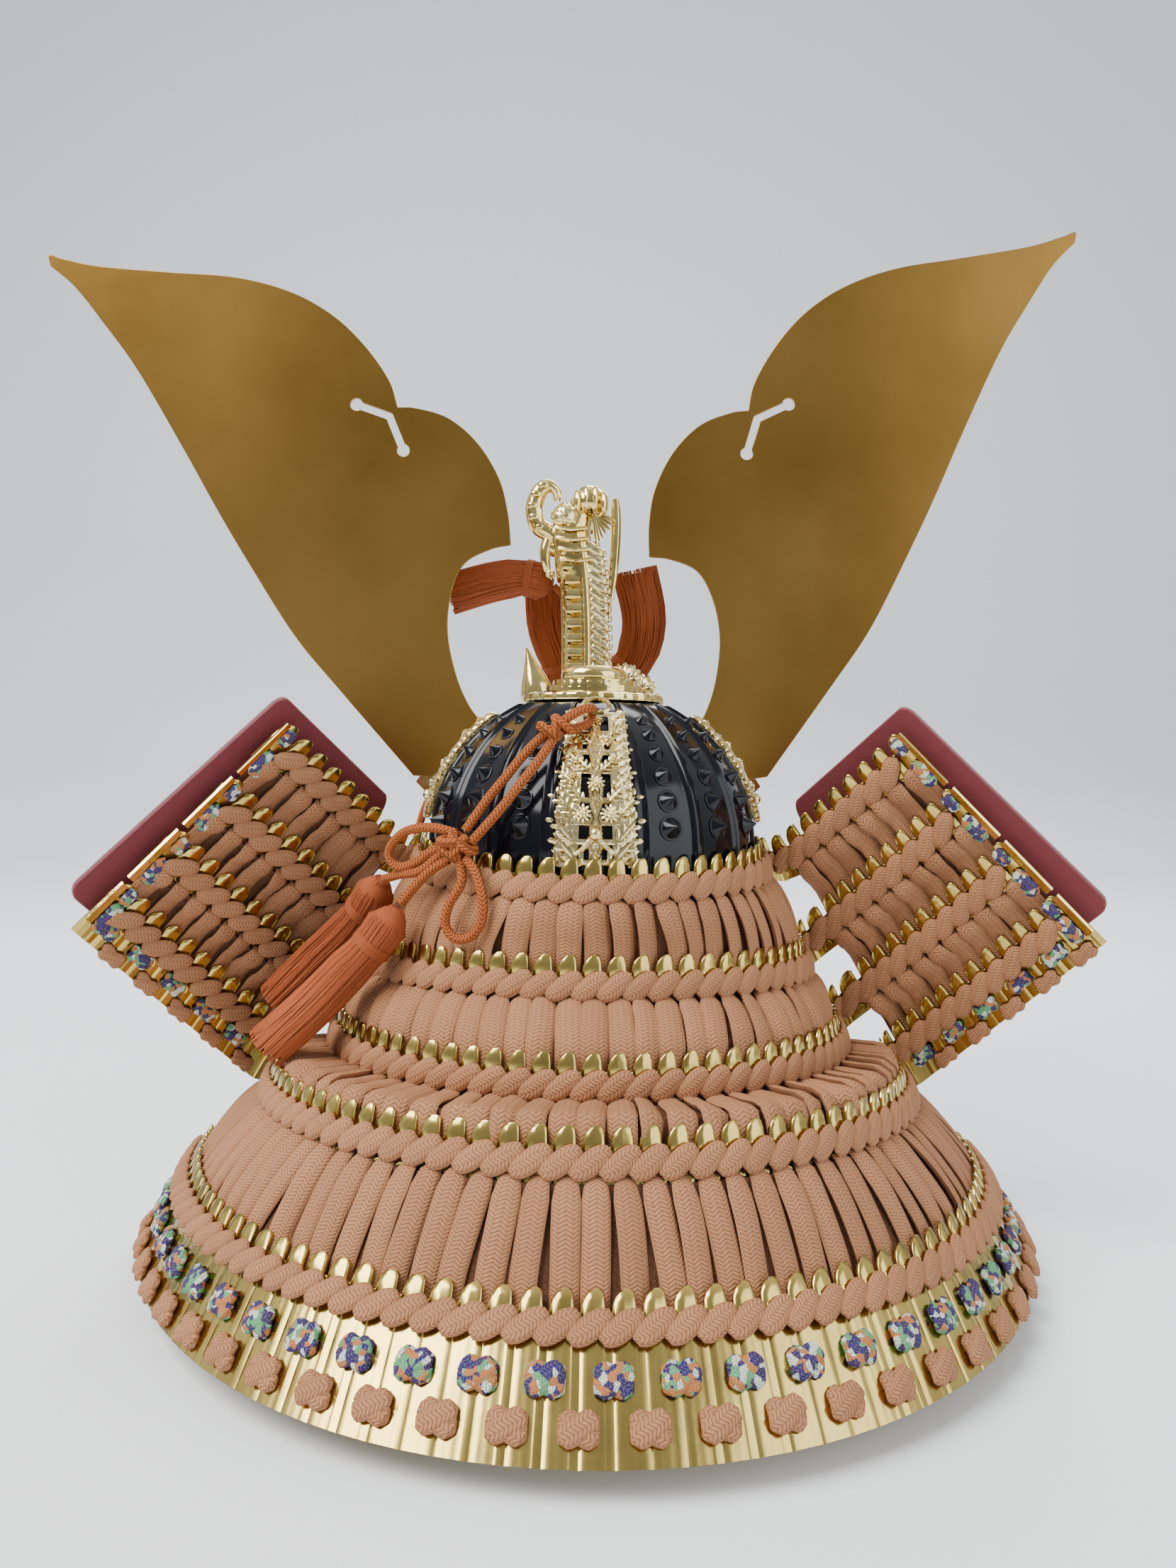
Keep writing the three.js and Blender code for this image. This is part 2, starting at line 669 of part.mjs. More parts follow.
function panel(middle, bottom) {
  const top = BOWL.top - PANEL.belowTop;
  const { stem, holeHalf, holeSlant } = PANEL;
  const half = (share) => PANEL.foot + (PANEL.head - PANEL.foot) * share;
  const height = (share) => bottom + (top - bottom) * share;
  // Two leaves of the border beside each pair of holes, with a notch between pairs
  const border = [];
  for (let k = 0; k <= 2 * PANEL.holes; k += 1) {
    const share = k / (2 * PANEL.holes);
    border.push([half(share) - (k % 2 ? 0 : PANEL.notch), height(share)]);
  }
  const bands = [];
  for (let k = 0; k < PANEL.holes; k += 1) {
    const share = (k + 0.5) / PANEL.holes;
    const [reach, z] = [half(share) * PANEL.holeReach, height(share)];
    const hole = [
      [stem, z - holeHalf * 0.4], [reach, z - holeHalf],
      [reach - holeSlant, z + holeHalf * 0.6], [stem + holeSlant, z + holeHalf],
    ];
    const mirror = hole.map(([x, y]) => [-x, y]);
    bands.push({ outline: evenLoop(border.slice(2 * k, 2 * k + 3)), holes: [hole.reverse(), mirror] });
  }
  const walls = [evenLoop(border), ...bands.flatMap(({ holes }) => holes)];
  return wrapped(bands, walls, middle, PANEL.lift, PANEL.lift + PANEL.thick);
}

// turn: degrees from the back. foot: share of the dome's rise.
const PANEL_PLACES = {
  back: { turn: 0, foot: -0.0435 }, left: { turn: 90, foot: 0.174 },
  front: { turn: 180, foot: 0.087 }, right: { turn: 270, foot: 0.174 },
};

Object.entries(PANEL_PLACES).forEach(([name, { turn, foot }]) => {
  piece(`panel_${name}`, panel(turn, domeHeight(foot)), BRIGHT_GOLD);
});

// Finial

const FINIAL = { flange: 0.4316 * BOWL.radius, scallops: 12, scallop: 0.9 };
// From the foot up. radius: share of the flange's. up: mm. wave: share of the scallops' depth.
const FINIAL_RINGS = [
  { radius: 0.927, up: 0, wave: 1 }, { radius: 1, up: 1, wave: 1 }, { radius: 0.951, up: 2.6, wave: 1 },
  { radius: 0.707, up: 3.1, wave: 0.44 }, { radius: 0.659, up: 5.6, wave: 0.44 },
  { radius: 0.537, up: 7.6, wave: 0.22 }, { radius: 0.463, up: 7.8, wave: 0 },
  { radius: 0.463, up: 10.2, wave: 0 }, { radius: 0.317, up: 11.2, wave: 0 },
];

function finial() {
  const base = BOWL.top + GAP;
  const sides = 2 * FINIAL.scallops;
  const rings = FINIAL_RINGS.map(({ radius, up, wave }) => {
    const ring = [];
    for (let k = 0; k < sides; k += 1) {
      const a = (2 * Math.PI * k) / sides;
      const r = radius * FINIAL.flange - (k % 2 ? wave * FINIAL.scallop : 0);
      ring.push(new THREE.Vector3(r * Math.cos(a), BOWL.centre + r * Math.sin(a), base + up));
    }
    return ring;
  });
  return skin(rings);
}

piece("finial", finial(), BRIGHT_GOLD);

// Visor, its gilt edge and the horn base

const VISOR = {
  half: 62, inner: BOWL.radius + VISOR_CLEAR, outer: BOWL.radius + 19.5,
  high: BOWL.spring - 0.5, low: BOWL.rim - 4, thick: 1.6, steps: 14,
};
const VISOR_RIM = { wide: 1.6, fall: 0.5, beyond: 1 };

function frontPoint(degrees, radius, z) {
  const a = rad(degrees);
  return new THREE.Vector3(radius * Math.sin(a), BOWL.centre - BOWL.stretch * radius * Math.cos(a), z);
}

function frontSweep(section) {
  const rings = [];
  for (let k = 0; k <= VISOR.steps; k += 1) {
    const degrees = VISOR.half * (1 - (2 * k) / VISOR.steps);
    const taper = Math.cos(rad(degrees) * 0.9);
    rings.push(section(taper).map(([radius, z]) => frontPoint(degrees, radius, z)));
  }
  return skin(rings);
}

const visorReach = (taper) => VISOR.inner + (VISOR.outer - VISOR.inner) * (0.45 + 0.55 * taper);

piece("visor", frontSweep((taper) => {
  const reach = visorReach(taper);
  return [
    [VISOR.inner, VISOR.high], [reach, VISOR.low], [reach, VISOR.low - VISOR.thick],
    [VISOR.inner, VISOR.high - VISOR.thick],
  ];
}), BLACK);

piece("visor_edge", frontSweep((taper) => {
  const start = visorReach(taper) + GAP;
  const { wide, fall, beyond } = VISOR_RIM;
  const rim = VISOR.thick + beyond;
  return [
    [start, VISOR.low + fall], [start + wide, VISOR.low], [start + wide, VISOR.low - rim],
    [start, VISOR.low + fall - rim],
  ];
}), BRIGHT_GOLD);

// Horns

function hornPoint(side, lean, [out, up]) {
  const a = rad(lean);
  const [x, z] = [out * HORN.height, up * HORN.height];
  return [
    side * (HORN.footOut + x * Math.cos(a) + z * Math.sin(a)),
    HORN.footUp + z * Math.cos(a) - x * Math.sin(a),
  ];
}

function slotOutline() {
  const scaled = HORN_SLOT.map(([x, z]) => new THREE.Vector2(x * HORN.height, z * HORN.height));
  const along = (a, b) => b.clone().sub(a).normalize();
  const square = (v) => new THREE.Vector2(-v.y, v.x);
  const [top, elbow, low] = scaled;
  const arms = [along(elbow, top), along(elbow, low)];
  const hole = (centre, arm) => {
    const start = Math.atan2(-arm.y, -arm.x);
    const open = Math.asin(HORN.slot / 2 / HORN.hole);
    const points = [];
    for (let k = 0; k <= 8; k += 1) {
      const turn = start + open + ((2 * Math.PI - 2 * open) * k) / 8;
      points.push(new THREE.Vector2(
        centre.x + HORN.hole * Math.cos(turn), centre.y + HORN.hole * Math.sin(turn),
      ));
    }
    return points;
  };
  const bisector = arms[0].clone().add(arms[1]).normalize();
  const corner = HORN.slot / 2 / Math.abs(square(arms[0]).dot(bisector));
  return [
    ...hole(top, arms[0]), elbow.clone().addScaledVector(bisector, -corner),
    ...hole(low, arms[1]), elbow.clone().addScaledVector(bisector, corner),
  ].map((v) => [v.x / HORN.height, v.y / HORN.height]);
}

function horn(side, lean) {
  const stem = HORN.stem / HORN.height;
  const { stemHalf, stemTop } = HORN;
  const outline = [
    ...HORN_OUTLINE, [-stemHalf, stemTop], [-stemHalf, -stem], [stemHalf, -stem], [stemHalf, stemTop],
  ];
  const turned = (list) => {
    const points = list.map((q) => hornPoint(side, lean, q));
    return side > 0 ? points : points.reverse();
  };
  return plate(turned(outline), [turned(slotOutline())],
    HORN.plane - PLATE_WALL / 2, HORN.plane + PLATE_WALL / 2);
}

piece("horn_left", horn(1, LEAN.left), BRASS);
piece("horn_right", horn(-1, LEAN.right), BRASS);

// Horn base: a plate with two flat sockets, on the visor

const PIN = {
  radius: 1.6, low: BOWL.rim + 17, sleeve: 3.4, sleeveLow: BOWL.rim + 12, sleeveHigh: BOWL.rim + 29,
};
const CREST = { plane: HORN.plane - 9, foot: BOWL.rim + 38, neckLong: 65, halfWidth: 8 };
const BASE = { thick: 1.6, socketHigh: 9, socketHalf: 12.6, socketThick: 4.4, socketFloor: 2, webHalf: 2 };
// One half of the face plate's outline: out from the middle, up from the bowl's rim
const BASE_OUTLINE = [
  [0, -0.8], [12, -1.4], [13, 4.5], [24, 4.5], [38, 8], [52, 15], [60, 23], [56, 29], [44, 30],
  [36, 24], [24, 20], [16, 25], [9, 34], [0, 38],
];

function socket(side, lean) {
  const [wide, high] = [BASE.socketHalf / HORN.height, BASE.socketHigh / HORN.height];
  const floor = -HORN.stem / HORN.height;
  const low = floor - BASE.socketFloor / HORN.height;
  const box = (half, from, to, thick) => plate(
    [[-half, from], [half, from], [half, to], [-half, to]].map((q) => hornPoint(side, lean, q)),
    [], HORN.plane - thick / 2, HORN.plane + thick / 2,
  );
  const slotHalf = HORN.stemHalf + GAP / HORN.height;
  return {
    sleeve: box(wide, low, low + high, BASE.socketThick),
    slot: box(slotHalf, floor - GAP / HORN.height, low + 1.2 * high, PLATE_WALL + 2 * GAP),
  };
}

function hornBase() {
  const left = socket(1, LEAN.left);
  const right = socket(-1, LEAN.right);
  const half = BASE_OUTLINE.map(([x, up]) => [x, BOWL.rim + up]);
  const outline = [...half, ...half.slice(1, -1).reverse().map(([x, z]) => [-x, z])];
  const behind = HORN.plane - PLATE_WALL / 2 - GAP;
  const face = plate(outline, [], behind - BASE.thick, behind);
  const upright = (radius, from, to) => bar([[0, CREST.plane, from], [0, CREST.plane, to]], radius, 10);
  const sleeve = upright(PIN.sleeve, PIN.sleeveLow, PIN.sleeveHigh);
  const { webHalf } = BASE;
  const web = plate(
    [[-webHalf, PIN.sleeveLow], [webHalf, PIN.sleeveLow], [webHalf, PIN.sleeveHigh],
      [-webHalf, PIN.sleeveHigh]],
    [], CREST.plane + PIN.sleeve - 0.8, behind - BASE.thick / 4,
  );
  const bore = upright(PIN.radius + GAP, PIN.low - GAP, PIN.sleeveHigh + 1);
  const solid = Manifold.union([face, left.sleeve, right.sleeve, sleeve, web].map(toSolid));
  return fromSolid(Manifold.difference([solid, ...[left.slot, right.slot, bore].map(toSolid)]));
}

piece("horn_base", hornBase(), BRIGHT_GOLD);

// Dragon crest: banded neck, head with a hooked tail, fins, and shell curls at the foot

const NECK = { bands: 8, from: 12, long: CREST.neckLong - 8, waist: 0.16, groove: 1.4 };

function bandedNeck() {
  const rings = [];
  const step = NECK.long / (NECK.bands - 1);
  for (let k = 0; k < NECK.bands; k += 1) {
    const share = k / (NECK.bands - 1);
    const z = CREST.foot + NECK.from + NECK.long * share;
    const half = CREST.halfWidth * (1 - NECK.waist * Math.sin(Math.PI * share));
    [[half - NECK.groove, z], [half, z + step * 0.5]].forEach(([r, level]) => {
      rings.push([0, 1, 2, 3, 4, 5].map((i) => {
        const a = (Math.PI * (i + 0.5)) / 3;
        return new THREE.Vector3(r * Math.cos(a), CREST.plane + 0.8 * r * Math.sin(a), level);
      }));
    });
  }
  return skin(rings);
}

function lump(centre, size) {
  const ball = new THREE.SphereGeometry(1, 6, 4);
  ball.scale(...size);
  ball.translate(...centre);
  return ball;
}

// Places on the crest: out from the middle, back from its plane, up from its foot, radius
const HOOK = [
  [2, 0, 67, 4.5], [12, 1, 66, 4.2], [19, 2, 71, 3.8], [21, 2, 79, 3.4], [17, 2, 86, 2.6], [11, 2, 84, 1.2],
];
const SPIKE = [[17, 0, 6, 8], [19, 0, 16, 5], [22, 0, 30, 0.6]];
// Each fin on the -X side. up: from the crest's foot. reach: out from the middle.
const FINS = [{ up: 50, reach: 8 }, { up: 58, reach: 10 }, { up: 66, reach: 12 }, { up: 74, reach: 12 }];
// Round masses. at: out, back, up. size: half of the width, depth and height.
const MASSES = [
  { at: [-14, 0, 18], size: [8, 5, 7] }, { at: [-21, 0, 12], size: [7, 5, 7] },
  { at: [0, 0, 8], size: [20, 5.5, 9] }, { at: [10, 0, 20], size: [6, 4.5, 6] },
  { at: [-1, -1, 74], size: [8.5, 7.5, 10] }, { at: [-3, -1, 84], size: [6, 6, 7] },
  { at: [-2, -8, 72], size: [5, 8, 5] },
];

const crestPoint = ([x, back, up]) => [x, CREST.plane + back, CREST.foot + up];

/** A horn-like bar through listed places, each with its radius. */
function taper(places, sides) {
  return bar(places.map(crestPoint), places.map((place) => place[3]), sides);
}

function crest() {
  const fins = FINS.map(({ up, reach }) => taper(
    [[-4, 0, up - 4, 3.4], [-reach, 0, up, 2.2], [-reach - 3, 0, up + 5, 0.5]], 5,
  ));
  const masses = MASSES.map(({ at, size }) => lump(crestPoint(at), size));
  const pin = bar([crestPoint([0, 0, 4]), [0, CREST.plane, PIN.low]], PIN.radius, 8);
  return fuse([bandedNeck(), taper(HOOK, 6), ...fins, taper(SPIKE, 6), ...masses, pin]);
}

piece("dragon_crest", crest(), BRIGHT_GOLD);

// Cord ring on its peg at the top of the back panel

const RING = {
  radius: 3.6, wire: 0.6, height: 4.3, peg: 0.7, pegUp: 1.85, pegRoot: 2, knob: 1.3, knobHigh: 1,
  up: 0.785, sink: 0.8, tangent: 2,
};

/** The back panel's face under the ring: a point on it, the way down along it and the way out of it. */
function ringSeat() {
  const outset = PANEL.lift + PANEL.thick - RING.sink;
  const at = bowlPoint(0, domeHeight(RING.up), outset);
  const above = bowlPoint(0, domeHeight(RING.up) + RING.tangent, outset);
  const down = at.clone().sub(above).normalize();
  return { at, down, out: new THREE.Vector3(0, -down.z, down.y) };
}

const RING_SEAT = ringSeat();

/** A point over the ring's seat, measured from the seat in the crown. */
function seatPoint(downBy, outBy, across = 0) {
  return RING_SEAT.at.clone().sub(new THREE.Vector3(0, BOWL.centre, SEAT))
    .addScaledVector(RING_SEAT.down, downBy).addScaledVector(RING_SEAT.out, outBy).setX(across);
}

function cordRing() {
  const ring = new THREE.TorusGeometry(RING.radius, RING.wire, 5, 12);
  const turn = new THREE.Quaternion().setFromUnitVectors(new THREE.Vector3(0, 0, 1), RING_SEAT.out);
  ring.applyQuaternion(turn);
  ring.translate(...seatPoint(0, RING.height).toArray());
  return fromSolid(toSolid(ring));
}

function ringPeg() {
  const knob = RING.height + RING.wire + GAP;
  const at = (outBy) => seatPoint(-RING.pegUp, outBy);
  return [
    bar([at(-RING.pegRoot), at(knob + RING.knobHigh / 3)], RING.peg, 6),
    bar([at(knob), at(knob + RING.knobHigh)], RING.knob, 6),
  ];
}

// Soft trim. Its points are in the frame of the finished helmet, from the seat in the crown.

/** A cord of even thickness on a smooth line through listed points. */
function cord(points, radius, sides, step = 2.8 * CORD) {
  const curve = new THREE.CatmullRomCurve3(points.map(vec), false, "centripetal");
  const count = Math.max(Math.round(curve.getLength() / step), points.length);
  return bar(curve.getSpacedPoints(count), radius, sides);
}

// The bow's loop through the ring: down the panel, out of it, across
const RING_LOOP = [[8.2, 4.6, 9], [4.6, 6.6, 6], [2, 7, 3], [1.1, 5.8, 0.8], [1, 4.2, 0.4], [1.6, 2.4, 1.2],
  [3.6, 1.9, 3], [6, 2.4, 6], [8.6, 3.4, 9]];

const BOW = {
  strandLeft: [[11, 43.6, -6], [14.5, 42.8, -8.6], [18.9, 43.9, -13.2], [23.4, 45, -19], [28, 45, -24.8],
    [33.6, 45.8, -33]],
  strandRight: [[9.5, 44.4, -6.5], [11.4, 44.2, -9.4], [15.2, 46.4, -15], [19.6, 47.8, -20.8],
    [24.8, 47.8, -27.6], [32, 47.2, -36]],
  loopLeft: [[36, 46, -33.6], [42.5, 43, -32.4], [49.5, 39, -33.6], [54, 35.6, -37.6], [54.6, 35, -41.2],
    [51.6, 36.4, -43.4], [46.6, 40, -41.6], [42.2, 43.4, -38.4], [37.6, 46, -36.8]],
  loopDown: [[34.6, 48.4, -40.6], [34, 50.6, -46], [37, 50.4, -51.4], [38, 50, -56.6], [35.6, 50.8, -60],
    [31.6, 52.4, -59.6], [28.6, 54, -55.6], [28.4, 53.8, -49.4], [30.4, 51.6, -43.2], [33, 49, -40]],
  endFront: [[38, 45.6, -40.6], [42.4, 43.8, -43.4], [46.6, 41.8, -47.6], [50.6, 39.8, -52.6]],
  endBack: [[39.6, 44.6, -38.8], [45.4, 41.6, -43.8], [51.4, 35.6, -45.4], [56.6, 29.8, -47.2]],
};
const BOW_KNOTS = [
  { at: [10.6, 43.4, -6], size: [6, 3.4, 4] }, { at: [35.4, 47.2, -37], size: [6.6, 4.6, 5.8] },
];

function bow() {
  const loop = RING_LOOP.map((place) => seatPoint(...place).toArray());
  const strands = [loop, ...Object.values(BOW)].map((points) => cord(points, CORD / 2, 5));
  return fuse([...strands, ...BOW_KNOTS.map(({ at, size }) => lump(at, size))]);
}

// From the head to the end of the skirt. along: share of the length. reach: share of half the width.
// groove: depth between two locks, as a share of the reach.
const TASSEL_RINGS = [
  { along: 0, reach: 0.4, groove: 0 }, { along: 0.06, reach: 0.85, groove: 0 },
  { along: 0.17, reach: 0.98, groove: 0 }, { along: 0.25, reach: 0.82, groove: 0.03 },
  { along: 0.38, reach: 0.98, groove: 0.1 }, { along: 0.7, reach: 1, groove: 0.13 },
  { along: 1, reach: 1.04, groove: 0.16 },
];

/** A tassel: a round head, a bound collar and a skirt of locks, along a line of points. */
function tassel(points, width) {
  const curve = new THREE.CatmullRomCurve3(points.map(vec), false, "centripetal");
  const half = width / 2;
  const sides = 12;
  let side = new THREE.Vector3(0, 0, 1);
  const rings = TASSEL_RINGS.map(({ along: share, reach, groove }) => {
    const p = curve.getPointAt(share);
    const along = curve.getTangentAt(share);
    side = side.clone().addScaledVector(along, -side.dot(along)).normalize();
    const other = along.clone().cross(side);
    const ring = [];
    for (let k = 0; k < sides; k += 1) {
      const turn = (2 * Math.PI * k) / sides;
      const r = half * reach * (k % 2 ? 1 - groove : 1);
      ring.push(p.clone().addScaledVector(side, r * Math.cos(turn))
        .addScaledVector(other, r * Math.sin(turn)));
    }
    return ring;
  });
  return skin(rings);
}

const TASSELS = {
  bow_tassel_front: {
    width: 12.5,
    points: [[51.4, 40.4, -54.2], [57.5, 39.8, -63], [65, 38.8, -71], [74, 38, -80.5], [86, 39, -91.6]],
  },
  bow_tassel_back: {
    width: 12,
    points: [[57.4, 29, -47.6], [62, 24.4, -55], [68, 20, -62.4], [77.4, 16, -71.6], [89, 14.6, -83.6]],
  },
  chin_tassel_left: { width: 15, points: [[14, -79, 49], [24, -80, 51.4], [36, -80, 49.6], [51, -80, 45]] },
  chin_tassel_middle: {
    width: 15, points: [[9, -101, 12], [12, -100, 24], [16, -98, 36], [17, -97, 50]],
  },
  chin_tassel_right: {
    width: 17, points: [[-8, -95, 12], [-17, -93, 24], [-20, -89, 38], [-16, -86, 56]],
  },
};

const CHIN_CORD = [
  [42.5, -4, -42.6], [42.8, -10, -47.6], [48, -15, -49.6], [53.2, -17.4, -46], [54, -21, -38],
  [51.6, -30, -27], [46, -40, -15], [37, -53, -4], [31, -61, 0], [30, -70, 0], [25, -81, 3],
  [12, -89, 6], [0, -90, 6],
  [-11, -88, 3], [-22, -80, -3], [-30, -72, -12], [-36, -69, -25], [-40, -68, -38], [-43, -64, -50],
  [-44, -52, -56], [-43.6, -36, -55], [-43, -22, -51], [-42.8, -10, -47], [-42.5, -4, -42.6],
];

// Short cords from the knot to each tassel's head
const KNOT_CORDS = [
  [[1, -93, 8], [2, -86, 18], [5, -83, 32], [9, -80.5, 44], [12.8, -79.2, 48.2]],
  [[2, -95.4, 7], [5.4, -99, 6.6], [8, -101, 8.4], [8.9, -101.1, 11.7]],
  [[-2, -94.6, 7], [-5.6, -95.4, 8.4], [-7.8, -95.1, 11.7]],
];

const CHIN_KNOT = { at: [0, -94.2, 7], size: [7, 2.8, 4.4] };

function chinKnot() {
  const tails = KNOT_CORDS.map((points) => cord(points, CORD / 2, 5));
  return fuse([lump(CHIN_KNOT.at, CHIN_KNOT.size), ...tails]);
}

// All heights from here on are from the inside of the crown, where the helmet sits on a head.

const helmet = new THREE.Group();
helmet.name = "kabuto_helmet";
parts.forEach((mesh) => mesh.geometry.translate(0, -BOWL.centre, -SEAT));

const backPanel = parts.find((mesh) => mesh.name === "panel_back");
backPanel.geometry = fuse([backPanel.geometry, ...ringPeg()]);
piece("cord_ring", cordRing(), BRIGHT_GOLD);
piece("cord_bow", bow(), RUST);
Object.entries(TASSELS).forEach(([name, { points, width }]) => {
  piece(name, tassel(points, width), RUST);
});
piece("chin_cord", cord(CHIN_CORD, CORD / 2, 6), RUST);
piece("chin_knot", chinKnot(), RUST);

parts.forEach((mesh) => {
  mesh.geometry.computeVertexNormals();
  helmet.add(mesh);
});

export default helmet;
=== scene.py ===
"""A display kabuto helmet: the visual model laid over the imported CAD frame, with its studio."""

import logging
import math
from dataclasses import dataclass
from enum import Enum

import bmesh
import bpy
import numpy as np
from mathutils import Matrix, Vector


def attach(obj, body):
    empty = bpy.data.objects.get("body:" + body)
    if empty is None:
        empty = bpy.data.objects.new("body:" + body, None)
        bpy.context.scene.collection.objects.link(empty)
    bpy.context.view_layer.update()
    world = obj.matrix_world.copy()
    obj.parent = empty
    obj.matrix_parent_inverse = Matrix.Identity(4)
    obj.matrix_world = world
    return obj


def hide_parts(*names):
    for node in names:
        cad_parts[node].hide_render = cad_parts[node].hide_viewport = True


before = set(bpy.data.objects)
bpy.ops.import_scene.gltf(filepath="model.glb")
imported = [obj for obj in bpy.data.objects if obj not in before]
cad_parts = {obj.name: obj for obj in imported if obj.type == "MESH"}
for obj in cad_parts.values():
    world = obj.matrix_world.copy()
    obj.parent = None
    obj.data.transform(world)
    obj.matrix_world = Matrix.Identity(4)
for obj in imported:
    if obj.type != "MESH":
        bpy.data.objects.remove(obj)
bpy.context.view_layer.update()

logging.basicConfig(level=logging.INFO, format="%(message)s")
log = logging.getLogger("kabuto")

Array = np.ndarray
Triple = tuple[float, float, float]
MM = 0.001
SEAT_SHIFT = np.array([0.0, -3.0, -147.195])
RIM_HALF_WIDTH = 125.5
CROWN_HEIGHT = 154.0


class Finish(Enum):
    """The finish kinds passed to each piece's build."""

    GILT = "gilt"
    BRIGHT_GILT = "bright_gilt"
    SATIN_BRASS = "satin_brass"
    BLACK_LACQUER = "black_lacquer"
    TAN_BRAID = "tan_braid"
    MIXED_BRAID = "mixed_braid"
    RUST_CORD = "rust_cord"
    MAROON_BOARD = "maroon_board"


def unit(vectors: Array) -> Array:
    """Vectors scaled to length one."""
    return vectors / np.maximum(np.linalg.norm(vectors, axis=-1, keepdims=True), 1e-9)


def smooth_line(points: Array, count: int) -> Array:
    """Evenly spaced points on a smooth curve through the given ones.

    Args:
        points: the points to pass through, one a row.
        count: how many points to return.

    Returns:
        An array of count rows.
    """
    line = np.asarray(points, float)
    padded = np.vstack([2 * line[0] - line[1], line, 2 * line[-1] - line[-2]])
    fine = []
    for k in range(len(line) - 1):
        a, b, c, d = padded[k : k + 4]
        for t in np.linspace(0, 1, 12, endpoint=False):
            fine.append(
                0.5
                * (2 * b + (c - a) * t + (2 * a - 5 * b + 4 * c - d) * t**2 + (3 * b - a - 3 * c + d) * t**3)
            )
    fine = np.vstack([fine, line[-1]])
    lengths = np.r_[0, np.cumsum(np.linalg.norm(np.diff(fine, axis=0), axis=1))]
    at = np.linspace(0, lengths[-1], count)
    return np.stack([np.interp(at, lengths, fine[:, k]) for k in range(line.shape[1])], axis=1)


